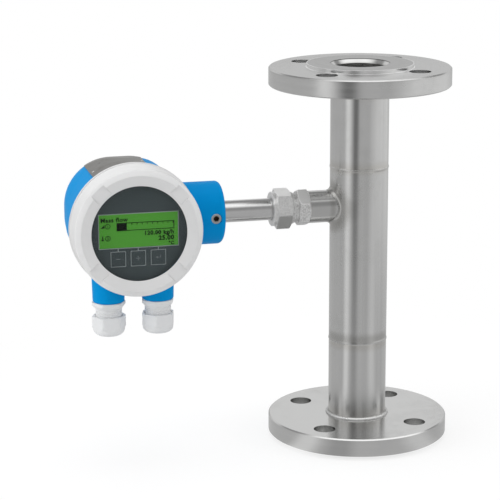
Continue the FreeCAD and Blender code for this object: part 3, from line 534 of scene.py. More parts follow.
def seamAway(level):  # distance from a horizontal seam
    return lambda tree, spot: calc(tree, "SUBTRACT", splitParts(tree, spot)[2], level * mm)


def branchAway(tree, spot):  # distance from the weld round the side branch
    x, y, z = splitParts(tree, spot)
    across = longSide(tree, y, riseOverTube(tree, z))
    near, far = branchHeat["farSide"]
    side = calc(tree, "MULTIPLY", smoothRange(tree, x, near * mm, far * mm), branchHeat["push"] * mm)
    return calc(tree, "ADD", calc(tree, "SUBTRACT", across, part["branchRadius"] * mm), side)


def neckAway(tree, spot):  # distance from the end of the branch at the pipe
    return calc(tree, "SUBTRACT", splitParts(tree, spot)[0], part["neckX"] * mm)


def axisAway(radius):  # distance from a circle about the flow
    def distance(tree, spot):
        x, y, z = splitParts(tree, spot)
        return calc(tree, "SUBTRACT", longSide(tree, x, y), radius * mm)
    return distance


def facetAway(angle, half):  # distance from one flat of a hexagon about the sensor tube
    def distance(tree, spot):
        x, y, z = splitParts(tree, spot)
        turn = math.radians(angle)  # up from the front
        front = calc(tree, "MULTIPLY", y, -math.cos(turn))
        rise = calc(tree, "MULTIPLY", riseOverTube(tree, z), math.sin(turn))
        return calc(tree, "SUBTRACT", calc(tree, "ADD", front, rise), half * mm)
    return distance


def holeAway(tree, spot):  # distance from the walls of the four bolt holes
    x, y, z = splitParts(tree, spot)
    offsets = [calc(tree, "SUBTRACT", calc(tree, "ABSOLUTE", value), part["boltAcross"] * mm)
               for value in (x, y)]
    return calc(tree, "SUBTRACT", longSide(tree, *offsets), part["boltRadius"] * mm)


def axleAway(middle):  # distance from an axis along Y at the height of the sensor tube
    def distance(tree, spot):
        x, y, z = splitParts(tree, spot)
        return longSide(tree, calc(tree, "SUBTRACT", x, middle * mm), riseOverTube(tree, z))
    return distance


def skin(scale, colour, rough, **rest):  # powder coat, casting or moulding
    return {"pattern": castSkin, "values": {"Scale": scale}, "colour": colour, "rough": rough, **rest}


def lathed(pitch, colour, rough, **rest):  # turned steel
    return {"pattern": latheLines, "values": {"Pitch": pitch * mm}, "metallic": 1.0, "colour": colour,
            "rough": rough, **rest}


def brushed(along, across, colour, rough, **rest):
    return {"pattern": brushedGrain, "values": {"Along": along, "Across": across}, "colour": colour,
            "rough": rough, **rest}


def ink(colour, rough=0.5, **rest):
    return skin(4000, colour, rough, relief=0.004, edge=0.1, **rest)


quarter = math.pi / 2
aboutX = (0, quarter, 0)
aboutY = (quarter, 0, 0)
seamTint = (0.34, 0.335, 0.32)
strawTint = (0.49, 0.475, 0.445)
boreTint = (0.5, 0.5, 0.49)
# lighter colour for a painted highlight along steel edges
steelEdge = (0.85, 0.85, 0.85)
white = (1, 1, 1)
lowSeam, highSeam, topFace = part["seamLow"], part["seamHigh"], part["flangeSpan"]
raisedLine = 41.3  # turning line inside the edge of the raised face
heatShift = 4  # from a weld to the middle of its heat
flangeHeat = part["flangePlate"] + heatShift
# painted shade on the bore wall inside the pipes, between these radii
boreFade = (21.7, 22.6)
bodyHalf, nutHalf = 13.5, 14.7  # half across the flats
# turned steel: handling wear, and a painted highlight along the edges
turnedLook = {
    "roughTone": 0.16, "roughMarks": 0.07, "wear": 0.35, "edgeColour": steelEdge, "edgeShare": 0.15}
drawnLook = {
    "metallic": 1.0, "round": "Z", "turn": aboutX, "tone": 0.12, "roughTone": 0.14, "roughMarks": 0.06,
    "relief": 0.003, "edge": 0.4, "core": (axisAway(0), *boreFade, boreTint)}
# hexagons: handling wear, and a strong painted highlight along the edges
hexagonLook = {
    "metallic": 0.75, "roughTone": 0.14, "worn": (0.5, 0.5, 0.49), "edge": 0.6, "edgeColour": white,
    "edgeShare": 0.8}

# heat and painted light rows: tint, reach, strength, distance
finishes = {
    "turnedSteel": lathed(
        0.45, (0.60, 0.60, 0.595), 0.2, relief=0.012, worn=(0.53, 0.53, 0.525), **turnedLook),
    "facedSteel": lathed(
        0.6, (0.60, 0.60, 0.595), 0.22, tone=0.07, relief=0.014, worn=(0.50, 0.50, 0.495), **turnedLook,
        # the raised face darker, a dark turning line, a painted highlight along the raised face's edge, and
        # painted light on the bolt hole walls
        heat=[((0.50, 0.50, 0.495), 4.8, 0.9, seamAway(topFace + part["raisedHeight"] / 2)),
              ((0.34, 0.34, 0.335), 2.6, 0.95, seamAway(topFace + part["raisedHeight"])),
              ((0.3, 0.3, 0.3), 0.7, 0.5, axisAway(raisedLine)),
              (white, 1.1, 0.9, axisAway(part["raisedRadius"])), ((0.8, 0.8, 0.8), 0.5, 0.6, holeAway)]),
    "pipeSteel": brushed(
        9, 650, (0.585, 0.585, 0.58), 0.2, worn=(0.50, 0.50, 0.49), wear=0.35, **drawnLook,
        heat=[(strawTint, 9, 0.6, seamAway(lowSeam)), (strawTint, 9, 0.6, seamAway(highSeam)),
              (strawTint, 9, 0.4, seamAway(flangeHeat)),
              (strawTint, 9, 0.4, seamAway(topFace - flangeHeat))]),
    "runSteel": brushed(
        9, 650, (0.58, 0.58, 0.575), 0.25, worn=(0.48, 0.48, 0.47), wear=0.4, **drawnLook,
        heat=[(seamTint, 7, 0.6, seamAway(lowSeam + heatShift)), (strawTint, 6, 0.5, seamAway(highSeam)),
              (seamTint, 9, 0.75, branchAway)]),
    "weldSteel": skin(
        900, (0.64, 0.64, 0.635), 0.24, metallic=1.0, tone=0.1, roughTone=0.2, roughMarks=0.1, relief=0.02,
        worn=(0.46, 0.455, 0.44), wear=0.4),
    "tubeSteel": lathed(
        0.4, (0.58, 0.58, 0.58), 0.16, round="X", turn=aboutX, tone=0.04, relief=0.008,
        worn=(0.52, 0.52, 0.515), edge=0.3),
    "fittingSteel": skin(
        900, (0.76, 0.76, 0.755), 0.4, tone=0.06, speckle=0.5, relief=0.04, **hexagonLook,
        polished=(-44.6, -44.0), polishedColour=(0.5, 0.5, 0.495), polishedRough=-0.24, polishedMetal=0.25,
        # weld heat at the branch end, and a painted highlight on the upper flat of the body hexagon
        heat=[(seamTint, 4, 0.6, neckAway), ((0.88, 0.88, 0.875), 0.8, 1.0, facetAway(52.5, bodyHalf))]),
    "nutSteel": skin(
        1100, (0.8, 0.8, 0.795), 0.36, speckle=0.3, **hexagonLook,
        # painted highlight on the upper flat and painted shade on the lower flat of the nut
        heat=[((0.95, 0.95, 0.945), 0.8, 1.0, facetAway(80, nutHalf)),
              ((0.42, 0.42, 0.415), 0.8, 1.0, facetAway(-40, nutHalf))]),
    "blueCoat": skin(
        750, (0.0, 0.275, 0.66), 0.45, sockets={"Specular IOR Level": 0.04}, roughMarks=0.08, relief=0.06,
        # a painted highlight along the edges
        worn=(0.003, 0.30, 0.68), wear=0.25, edge=0.8, edgeColour=(0.03, 0.34, 0.74), edgeShare=0.35),
    "whiteCoat": skin(
        700, (0.78, 0.782, 0.785), 0.4, tone=0.02, roughTone=0.08, roughMarks=0.07, relief=0.06,
        sockets={"Specular IOR Level": 0.8, "Coat Weight": 0.8, "Coat Roughness": 0.14},
        # a painted highlight along the edges
        worn=(0.70, 0.70, 0.695), wear=0.25, edge=0.7, edgeColour=(0.86, 0.86, 0.86), edgeShare=0.4),
    "glandPlastic": skin(
        1500, (0.8, 0.81, 0.82), 0.42, tone=0.025, roughMarks=0.08, worn=(0.64, 0.65, 0.66), wear=0.25,
        # a painted highlight along the edges
        edge=0.6, edgeColour=(0.82, 0.83, 0.84), edgeShare=0.35),
    "plateSteel": brushed(
        60, 900, (0.15, 0.146, 0.136), 0.32, metallic=0.55, tone=0.6, roughTone=0.2, markScale=60,
        relief=0.01, worn=(0.10, 0.09, 0.075), wear=0.6),
    "pinSteel": skin(2500, (0.62, 0.62, 0.62), 0.25, metallic=1.0, tone=0.06, relief=0.01),
    "screwSteel": lathed(
        0.3, (0.42, 0.415, 0.41), 0.3, turn=aboutY, shift=(-part["screwX"] * mm, -part["tubeZ"] * mm, 0),
        # painted shade in the hex socket, and a painted highlight along the edges
        tone=0.12, relief=0.02, core=(axleAway(part["screwX"]), 2.25, 2.6, (0.035, 0.024, 0.016)),
        worn=(0.30, 0.24, 0.18), wear=0.4, edge=0.4, edgeColour=steelEdge, edgeShare=0.5),
    "blackRubber": skin(
        2200, (0.018, 0.018, 0.019), 0.6, tone=0.2, relief=0.04, worn=(0.05, 0.05, 0.05), wear=0.4,
        edge=0.3),
    "blackRing": skin(1600, (0.022, 0.023, 0.025), 0.4, tone=0.15, worn=(0.04, 0.04, 0.04)),
    "slatePlastic": skin(
        2600, (0.053, 0.068, 0.072), 0.55, sockets={"Specular IOR Level": 0.2}, relief=0.02,
        worn=(0.045, 0.055, 0.06), edge=0.3),
    "holderPlastic": skin(1800, (0.10, 0.105, 0.11), 0.5, tone=0.1, worn=(0.14, 0.14, 0.14), edge=0.4),
    "boardCoat": brushed(
        900, 900, (0.012, 0.10, 0.045), 0.35, tone=0.25, relief=0.02, worn=(0.03, 0.14, 0.07)),
    "pottedCore": skin(
        300, (0.03, 0.03, 0.032), 0.3, tone=0.2, relief=0.06, worn=(0.06, 0.06, 0.06), edge=0.8),
    "terminalGreen": skin(1800, (0.05, 0.27, 0.09), 0.42, tone=0.06, worn=(0.07, 0.3, 0.12), edge=0.4),
    "terminalBrass": brushed(
        300, 3000, (0.72, 0.52, 0.22), 0.28, metallic=1.0, tone=0.08, relief=0.01, worn=(0.5, 0.36, 0.18)),
    "cableGrey": skin(1200, (0.22, 0.225, 0.23), 0.5, tone=0.08, worn=(0.27, 0.27, 0.27)),
    "lcdInk": ink((0.002, 0.005, 0.002), 0.7, sockets={"Specular IOR Level": 0.1}, tone=0.2),
    "keyInk": ink((0.33, 0.37, 0.37), tone=0.1),
    "signInk": ink((0.16, 0.185, 0.19), tone=0.1),
}
materials = {name: makeFinish(name, look) for name, look in finishes.items()}

lcdLook = {"colour": (0.055, 0.225, 0.024), "glow": 0.4, "cell": 0.42, "gap": (-1.0, -0.55), "dim": 0.9,
           "fade": (36, 6), "cellShare": 0.7, "fadeShare": 0.5, "specular": 0.15, "rough": 0.3,
           "roughCells": 0.08}


def lcdMaterial(look):  # backlit green panel: fine cells, brighter in the middle
    material, tree, spot = newMaterial("lcdGreen")
    shader = tree.nodes["Principled BSDF"]
    x, y, z = splitParts(tree, spot)
    lines = []
    for value in (x, z):
        wave = calc(tree, "SINE", calc(tree, "MULTIPLY", value, 2 * math.pi / (look["cell"] * mm)))
        lines.append(smoothRange(tree, wave, *look["gap"]))
    cells = calc(tree, "MULTIPLY", *lines)
    fromMiddle = calc(tree, "ABSOLUTE", calc(tree, "SUBTRACT", x, part["houseX"] * mm))
    fade = smoothRange(tree, fromMiddle, *(reach * mm for reach in look["fade"]))
    dim = opaque(look["colour"], look["dim"])
    colour = opaque(look["colour"])
    for mask, share in ((cells, look["cellShare"]), (fade, look["fadeShare"])):
        colour = blendColour(tree, calc(tree, "MULTIPLY_ADD", mask, share, 1 - share), dim, colour)
    rough = calc(tree, "MULTIPLY_ADD", cells, look["roughCells"], look["rough"])
    feedAll(tree, shader, {
        "Base Color": colour, "Emission Color": colour, "Emission Strength": look["glow"],
        "Specular IOR Level": look["specular"], "Roughness": rough})
    return material


glassLook = {
    "index": 1.46, "specular": 0.06, "clean": (0.97, 0.98, 0.98), "smeared": (0.93, 0.95, 0.95),
    "markScale": 30.0, "rough": 0.004, "roughMarks": 0.03, "clear": (0.98, 0.985, 0.985), "through": 0.85,
}


def glassMaterial(look):  # clear pane with the faintest smears; lamps pass straight through
    material, tree, spot = newMaterial("windowGlass")
    shader = tree.nodes["Principled BSDF"]
    marks = useGroup(tree, handlingMarks, Vector=spot, Scale=look["markScale"])["Mask"]
    colour = blendColour(tree, marks, opaque(look["clean"]), opaque(look["smeared"]))
    rough = calc(tree, "MULTIPLY_ADD", marks, look["roughMarks"], look["rough"])
    feedAll(tree, shader, {
        "Transmission Weight": 1.0, "IOR": look["index"], "Specular IOR Level": look["specular"],
        "Base Color": colour, "Roughness": rough})
    clear = addStep(tree, "ShaderNodeBsdfTransparent", {"Color": opaque(look["clear"])})[0]
    shadow = tree.nodes.new("ShaderNodeLightPath").outputs["Is Shadow Ray"]
    through = calc(tree, "MAXIMUM", shadow, look["through"])
    end = tree.nodes["Material Output"].inputs["Surface"]
    feed(tree, end, mixShaders(tree, through, shader.outputs[0], clear))
    return material


materials["lcdGreen"] = lcdMaterial(lcdLook)
materials["windowGlass"] = glassMaterial(glassLook)

dressed = {
    "turnedSteel": ["inlet_flange"],
    "facedSteel": ["outlet_flange"],
    "pipeSteel": ["inlet_pipe", "outlet_pipe"],
    "runSteel": ["measuring_tube"],
    "tubeSteel": ["sensor_tube", "sensor_head", "heated_probe", "reference_probe", "probe_guard"],
    "fittingSteel": ["fitting_body", "front_ferrule", "back_ferrule", "tube_clip"],
    "nutSteel": ["fitting_nut"],
    "blueCoat": ["housing"],
    "whiteCoat": ["cover_ring"],
    "glandPlastic": ["gland_body_left", "gland_body_right", "gland_nut_left", "gland_nut_right"],
    "plateSteel": ["nameplate"],
    "pinSteel": ["nameplate_pins"],
    "screwSteel": ["securing_screw"],
    "blackRubber": ["neck_o_ring", "cover_o_ring", "window_seal", "gland_seal_left", "gland_seal_right"],
    "blackRing": ["window_retainer"],
    "slatePlastic": ["display_module"],
    "lcdGreen": ["lcd_panel"],
    "windowGlass": ["window_glass"],
    "holderPlastic": ["display_holder"],
    "boardCoat": ["electronics_carrier"],
    "pottedCore": ["main_electronics"],
    "terminalGreen": ["terminal_block"],
    "terminalBrass": ["terminal_screws"],
    "cableGrey": ["sensor_cable"],
}
mirroring = ("turnedSteel", "facedSteel", "pipeSteel", "runSteel", "tubeSteel", "fittingSteel", "nutSteel",
             "screwSteel")
for finishName, names in dressed.items():
    for name in names:
        for slot in nodes[name].material_slots:
            slot.material = materials[finishName]
        nodes[name].visible_glossy = finishName in mirroring  # the steel mirrors steel, not the housing
print("materials on", sum(len(names) for names in dressed.values()), "CAD nodes")


def toObject(form, name, finishName=None):  # a piece drawn in millimetres
    bmesh.ops.recalc_face_normals(form, faces=form.faces)
    bmesh.ops.scale(form, verts=form.verts, vec=(mm, mm, mm))
    made = addObject(name, formMesh(form, name))
    if finishName:
        made.data.materials.append(materials[finishName])
    return made


def plainMesh(holder):  # what an object shows, as a mesh of its own
    return bpy.data.meshes.new_from_object(holder.evaluated_get(bpy.context.evaluated_depsgraph_get()))


def settle(holder):  # its modifiers made a plain mesh, in place
    holder.data = plainMesh(holder)
    holder.modifiers.clear()
    return holder


def runTree(tree, holder, values):
    step = holder.modifiers.new("build", "NODES")
    step.node_group = tree
    for item in tree.interface.items_tree:
        if item.item_type == "SOCKET" and item.in_out == "INPUT" and item.name in values:
            step[item.identifier] = values[item.name]
    return settle(holder)


def blankObject(name):
    return addObject(name, bpy.data.meshes.new(name))


def loopsObject(name, loops):  # closed and open runs of points as one mesh of edges
    spots = []
    edges = []
    for points, closed in loops:
        first = len(spots)
        spots += [Vector(point) * mm for point in points]
        edges += [(first + step, first + step + 1) for step in range(len(points) - 1)]
        if closed:
            edges.append((len(spots) - 1, first))
    made = blankObject(name)
    made.data.from_pydata(spots, edges, [])
    return made


def circlePath(radius, level, count, middle=(0, 0)):
    x, y = middle
    turns = [2 * math.pi * step / count for step in range(count)]
    return [(x + radius * math.cos(turn), y + radius * math.sin(turn), level) for turn in turns]


def bridge(form, rings):  # faces from each ring of points to the next
    for ring, beside in zip(rings, rings[1:]):
        for step in range(len(ring)):
            after = (step + 1) % len(ring)
            corners = [ring[step], ring[after], beside[after], beside[step]]
            form.faces.new(list(dict.fromkeys(corners)))


def endTree(tree, shape, start, end):  # what was built, realised and given its finish
    real = addStep(tree, "GeometryNodeRealizeInstances", {0: shape})[0]
    paint = addStep(tree, "GeometryNodeSetMaterial", {0: real, "Material": start["Finish"]})[0]
    feed(tree, end[0], paint)
    return tree


finishIn = ("Finish", "Material", None)
ballLook = {"Segments": 10, "Rings": 6, "Radius": 1.0}
puddleLook = {"least": 0.84, "most": 1.14, "overlap": 0.95}


def weldTree():  # a bead along a path, with the ripples of each puddle laid on it
    tree, start, end = newGroup("weldBead", "Geometry", [
        ("Path", "Geometry", None), ("Width", "Float", 0.003), ("Rise", "Float", 0.001),
        ("Pitch", "Float", 0.0012), ("Lean", "Float", 0.0), ("Seed", "Int", 1), finishIn],
        [("Bead", "Geometry")])
    curve = addStep(tree, "GeometryNodeMeshToCurve", {"Mesh": start["Path"]})[0]
    spots = addStep(tree, "GeometryNodeCurveToPoints", {"Curve": curve, "Length": start["Pitch"]}, "LENGTH")
    lean = addStep(tree, "FunctionNodeAxisAngleToRotation", {"Axis": (0, 0, 1), "Angle": start["Lean"]})[0]
    turned = tree.nodes.new("FunctionNodeRotateRotation")
    turned.rotation_space = "LOCAL"
    feedAll(tree, turned, {"Rotation": spots["Rotation"], "Rotate By": lean})
    ball = addStep(tree, "GeometryNodeMeshUVSphere", ballLook)["Mesh"]
    smooth = addStep(tree, "GeometryNodeSetShadeSmooth", {0: ball})[0]
    vary = addStep(tree, "FunctionNodeRandomValue", {
        2: puddleLook["least"], 3: puddleLook["most"], "Seed": start["Seed"]})[1]
    half = calc(tree, "MULTIPLY", start["Width"], 0.5)
    size = joinParts(tree, calc(tree, "MULTIPLY", half, vary), calc(tree, "MULTIPLY", start["Rise"], vary),
                     calc(tree, "MULTIPLY", start["Pitch"], puddleLook["overlap"]))
    beads = addStep(tree, "GeometryNodeInstanceOnPoints", {
        "Points": spots["Points"], "Instance": smooth, "Rotation": turned.outputs[0], "Scale": size})[0]
    return endTree(tree, beads, start, end)


welds = {
    "flangeLean": 45, "flangeOut": 1.0, "flangeWidth": 3.2, "flangeRise": 0.8,
    "seamWidth": 1.0, "seamRise": 0.2, "seamSink": 0.12,
    "pitch": 1.1, "count": 128, "firstSeed": 3,
}


def buildWelds(look):
    tree = weldTree()
    pipe = part["pipeRadius"]
    plate = part["flangePlate"]
    out = look["flangeOut"]
    lean = math.radians(look["flangeLean"])
    rows = []  # name, radius, level, width, rise, lean
    for name, level, way in (("inlet", plate, 1), ("outlet", part["flangeSpan"] - plate, -1)):
        rows.append((name + "FlangeWeld", pipe + out, level + way * out, look["flangeWidth"],
                     look["flangeRise"], way * lean))
    for name, level in (("low", part["seamLow"]), ("high", part["seamHigh"])):
        rows.append((name + "SeamWeld", pipe + look["seamSink"], level, look["seamRise"] * 2,
                     look["seamWidth"] / 2, 0.0))
    for seed, (name, radius, level, width, rise, turn) in enumerate(rows, look["firstSeed"]):
        path = loopsObject(name, [(circlePath(radius, level, look["count"]), True)])
        bead = runTree(tree, path, {
            "Width": width * mm, "Rise": rise * mm, "Pitch": look["pitch"] * mm, "Lean": turn,
            "Seed": seed, "Finish": materials["weldSteel"]})
        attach(bead, "flow_body")


buildWelds(welds)
print("welds laid")


def ridgeTree():  # a screw thread as a ridge wound round Z, then turned and moved to its place
    tree, start, end = newGroup("threadRidge", "Geometry", [
        ("Blank", "Geometry", None), ("Radius", "Float", 0.01), ("Height", "Float", 0.004),
        ("Turns", "Float", 2.0), ("Ridge", "Float", 0.0004), ("Place", "Vector", None),
        ("Turn", "Rotation", None), finishIn], [("Thread", "Geometry")])
    coil = addStep(tree, "GeometryNodeCurveSpiral", {
        "Resolution": 64, "Rotations": start["Turns"], "Start Radius": start["Radius"],
        "End Radius": start["Radius"], "Height": start["Height"]})[0]
    section = addStep(tree, "GeometryNodeCurvePrimitiveCircle", {
        "Resolution": 8, "Radius": start["Ridge"]})[0]
    sweep = addStep(tree, "GeometryNodeCurveToMesh", {
        "Curve": coil, "Profile Curve": section, "Fill Caps": True})[0]
    moved = addStep(tree, "GeometryNodeTransform", {
        "Geometry": sweep, "Translation": start["Place"], "Rotation": start["Turn"]})[0]
    return endTree(tree, moved, start, end)


threads = {
    "nose": {"radius": 12.75, "height": 2.0, "turns": 1.6, "ridge": 0.42, "x": -59.6},
    "gland": {"radius": 10.15, "height": 6.4, "turns": 4.2, "ridge": 0.5, "low": 120.9},
}


def buildThreads(look):
    tree = ridgeTree()
    nose = look["nose"]
    gland = look["gland"]
    rows = [("noseThread", nose, (nose["x"], 0, part["tubeZ"]), aboutX, "fittingSteel", "flow_body",
             "stainless_fitting")]
    for name, side in (("leftGlandThread", -1), ("rightGlandThread", 1)):
        place = (part["houseX"] + side * part["glandSpread"], part["glandY"], gland["low"])
        rows.append((name, gland, place, (0, 0, 0), "glandPlastic", "housing_body", "grey_plastic"))
    for name, size, place, turn, finishName, body, slot in rows:
        thread = runTree(tree, blankObject(name), {
            "Radius": size["radius"] * mm, "Height": size["height"] * mm, "Turns": size["turns"],
            "Ridge": size["ridge"] * mm, "Place": Vector(place) * mm, "Turn": Euler(turn),
            "Finish": materials[finishName]})
        thread.data.shade_smooth()
        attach(thread, body)


buildThreads(threads)
print("threads wound")


def profile(look, rows):  # named radii and heights as numbers
    return [(look[radius], look[height], *hexagon) for radius, height, *hexagon in rows]


def softLeast(first, second, blend):  # the smaller of two, rounded where they meet
    return -blend * math.log(math.exp(-first / blend) + math.exp(-second / blend))


def turnedForm(loop, count, turn=0.0, flats=0.0, soften=0.0, smoothTo=38):  # a closed profile turned about Z
    form = bmesh.new()
    sixth = math.pi / 3
    rings = []
    for radius, height, *hexagon in loop:  # points marked hex stay inside a hexagon
        ring = []
        for step in range(count):
            angle = 2 * math.pi * step / count
            reach = radius
            if hexagon:
                fromFlat = (angle + sixth / 2) % sixth - sixth / 2
                reach = softLeast(radius, flats / 2 / math.cos(fromFlat), soften)
            ring.append(form.verts.new((
                reach * math.cos(angle + turn), reach * math.sin(angle + turn), height)))
        rings.append(ring)
    bridge(form, rings + rings[:1])
    for edge in form.edges:
        edge.smooth = edge.calc_face_angle(0) < math.radians(smoothTo)
    return form


# cable gland below its boss, heights in the part's frame
glandLook = {
    "flats": 24.6, "soften": 0.25, "count": 144, "turns": {"left": 30, "right": 45},
    "bossEnd": 133.2, "stemTop": 141.7, "stemRadius": 9.9, "boreRadius": 6.5,
    "flangeRim": 13.4, "flangeSoft": 132.8, "flangeRadius": 13.7, "flangeStraight": 130.7,
    "flangeLow": 127.7, "flangeNeck": 10.7, "neckTop": 127.6, "neckRadius": 10.15, "neckLow": 116.5,
    "pocketRadius": 8.65, "pocketTop": 124.65,
    "nutTop": 121.7, "nutRim": 12.85, "nutSoft": 13.48, "nutSoftTop": 121.43, "nutRadius": 13.75,
    "nutFlank": 120.8, "nutStraight": 112.4, "nutShoulder": 12.9, "nutCurve": 5.8, "nutSteps": 8,
    "nutLow": 105.6, "nutThread": 10.95, "nutSeat": 113.3, "mouthRim": 6.9, "mouthSoft": 105.9, "mouth": 6.6,
}


def glandBodyLoop(look):
    return profile(look, [
        ("boreRadius", "stemTop"), ("stemRadius", "stemTop"), ("stemRadius", "bossEnd"),
        ("flangeRim", "bossEnd", "hex"), ("flangeRadius", "flangeSoft", "hex"),
        ("flangeRadius", "flangeStraight", "hex"), ("flangeNeck", "flangeLow", "hex"),
        ("neckRadius", "neckTop"), ("neckRadius", "neckLow"), ("pocketRadius", "neckLow"),
        ("pocketRadius", "pocketTop"), ("boreRadius", "pocketTop")])


def glandNutLoop(look):
    curve = look["nutCurve"]
    bends = [quarter * step / look["nutSteps"] for step in range(look["nutSteps"] + 1)]
    dome = [(look["nutShoulder"] - curve + curve * math.cos(bend),
             look["nutLow"] + curve - curve * math.sin(bend), "hex") for bend in bends]
    top = [("nutThread", "nutTop"), ("nutRim", "nutTop", "hex"), ("nutSoft", "nutSoftTop", "hex"),
           ("nutRadius", "nutFlank", "hex"), ("nutRadius", "nutStraight", "hex")]
    inside = [("mouthRim", "nutLow"), ("mouth", "mouthSoft"), ("mouth", "nutSeat"), ("nutThread", "nutSeat")]
    return profile(look, top) + dome + profile(look, inside)


def buildGlands(look):
    for side, way in (("left", -1), ("right", 1)):
        turn = math.radians(look["turns"][side])
        middle = (part["houseX"] + way * part["glandSpread"], part["glandY"], 0)
        for piece, loop in (("body", glandBodyLoop(look)), ("nut", glandNutLoop(look))):
            form = turnedForm(loop, look["count"], turn, look["flats"], look["soften"])
            bmesh.ops.translate(form, verts=form.verts, vec=middle)
            made = toObject(form, side + "Gland" + piece.capitalize(), "glandPlastic")
            made.visible_glossy = False
            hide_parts("gland_" + piece + "_" + side)
            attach(made, "housing_body")


buildGlands(glandLook)
print("glands turned")

# front wall of each cable boss, which the room for the cover cuts open above the gland
wallLook = {"bore": 9.97, "back": -32.0, "shoulder": -33.52, "front": -35.6, "collar": 47.2, "inside": 43.5,
            "low": 141.8, "steps": 24, "merge": 0.001, "sliver": 0.0001}


def wallSection(look, side, across):  # outline of a wall at one distance from the axis of its bore
    rim = part["glandY"] - math.sqrt(look["bore"] ** 2 - across ** 2)
    back, low = look["back"], look["low"]
    behind = max(rim, look["shoulder"])
    ahead = max(rim, look["front"])
    under, over = (part["tubeZ"] - math.sqrt(look[level] ** 2 - (side + across) ** 2)
                   for level in ("collar", "inside"))
    outline = [(back, low), (behind, low), (behind, under), (ahead, under), (ahead, over), (back, over),
               (back, under)]
    return [(part["houseX"] + side + across, y, z) for y, z in outline]


def buildWalls(look):
    form = bmesh.new()
    half = math.sqrt(look["bore"] ** 2 - (look["back"] - part["glandY"]) ** 2)
    for side in (-part["glandSpread"], part["glandSpread"]):
        sections = []
        for step in range(look["steps"] + 1):
            across = half * (2 * step / look["steps"] - 1)
            sections.append([form.verts.new(corner) for corner in wallSection(look, side, across)])
        bridge(form, sections)
    bmesh.ops.remove_doubles(form, verts=form.verts, dist=look["merge"])
    bmesh.ops.dissolve_degenerate(form, edges=form.edges, dist=look["sliver"])
    walls = toObject(form, "bossWalls", "blueCoat")
    walls.visible_glossy = False
    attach(walls, "housing_body")


buildWalls(wallLook)
print("boss walls closed")

# end pipes with the slighter welds the photograph shows behind the flanges and at the seams
pipeLook = {"count": 160, "set": 0.4, "root": 3, "fillet": 2, "seamHalf": 1.2, "seamCrown": 0.4,
            "seamRise": 0.2}


def buildPipes(look):
    bore, wall = part["boreRadius"], part["pipeRadius"]
    crown = wall + look["seamRise"]
    fillet = look["fillet"]
    ends = (("inlet", 0, part["seamLow"], 1), ("outlet", part["flangeSpan"], part["seamHigh"], -1))
    for name, level, seam, way in ends:
        start = level + way * look["set"]
        behind = level + way * part["flangePlate"]
        loop = [
            (bore, start), (wall, start - way * look["root"]), (wall, behind), (wall + fillet, behind),
            (wall, behind + way * fillet), (wall, seam - way * look["seamHalf"]),
            (crown, seam - way * look["seamCrown"]), (crown, seam), (bore, seam)]
        made = toObject(turnedForm(loop, look["count"]), name + "Pipe", "pipeSteel")
        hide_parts(name + "_pipe")
        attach(made, "flow_body")


buildPipes(pipeLook)
print("end pipes turned")

# cover ring with the crisp crest and funnel of the photograph, depths back from the crest
coverLook = {
    "crestY": -63.2, "count": 180, "sharp": 9,
    "window": 38.0, "funnel": 2.0, "lip": 2.36, "crest": 0, "crestSoft": 0.12,
    "crestIn": 45.6, "crestFrom": 45.84, "crestTo": 46.5, "crestOut": 46.74,
    "chamfer": 50.5, "chamferBack": 2.7, "shoulder": 51.0, "shoulderBack": 3.5, "skirt": 51.85,
    "grooveFloor": 51.4, "grooveFront": 23.9, "grooveBack": 24.7, "band": 52.08, "bandBack": 28.0,
    "end": 28.7, "thread": 47.33, "threadEnd": 9.0, "seat": 41.8, "clampBack": 6.7, "clampOut": 43.5,
    "paneBack": 5.4,
    "slotIn": 39.5, "slotOut": 60.0, "slotHalf": 6.5, "slotDeep": 1.7, "slotAhead": 4.0, "slotTurn": 42.3,
    "slots": 4,
}


def coverLoop(look):
    return profile(look, [
        ("window", "funnel"), ("crestIn", "crestSoft"), ("crestFrom", "crest"), ("crestTo", "crest"),
        ("crestOut", "crestSoft"), ("chamfer", "chamferBack"), ("shoulder", "shoulderBack"),
        ("skirt", "grooveFront"), ("grooveFloor", "grooveFront"), ("grooveFloor", "grooveBack"),
        ("band", "grooveBack"), ("band", "bandBack"), ("grooveFloor", "end"), ("thread", "end"),
        ("thread", "threadEnd"), ("seat", "threadEnd"), ("seat", "clampBack"), ("clampOut", "clampBack"),
        ("clampOut", "paneBack"), ("seat", "paneBack"), ("seat", "lip"), ("window", "lip")])


def boxCorners(left, low, right, high):
    return [(left, low), (right, low), (right, high), (left, high)]


def addBlock(form, low, high):  # a straight block between two like outlines
    ends = [[form.verts.new(corner) for corner in outline] for outline in (low, high)]
    for outline in ends:
        form.faces.new(outline)
    bridge(form, ends)


def slotCutter(look):  # bars that mill the tool slots
    form = bmesh.new()
    corners = boxCorners(look["slotIn"], -look["slotHalf"], look["slotOut"], look["slotHalf"])
    for number in range(look["slots"]):
        angle = math.radians(look["slotTurn"]) + 2 * math.pi * number / look["slots"]
        up, along = math.sin(angle), math.cos(angle)
        turned = [(part["houseX"] + out * along - across * up, part["tubeZ"] + out * up + across * along)
                  for out, across in corners]
        addBlock(form, *([(x, look["crestY"] + depth, z) for x, z in turned]
                         for depth in (-look["slotAhead"], look["slotDeep"])))
    return form


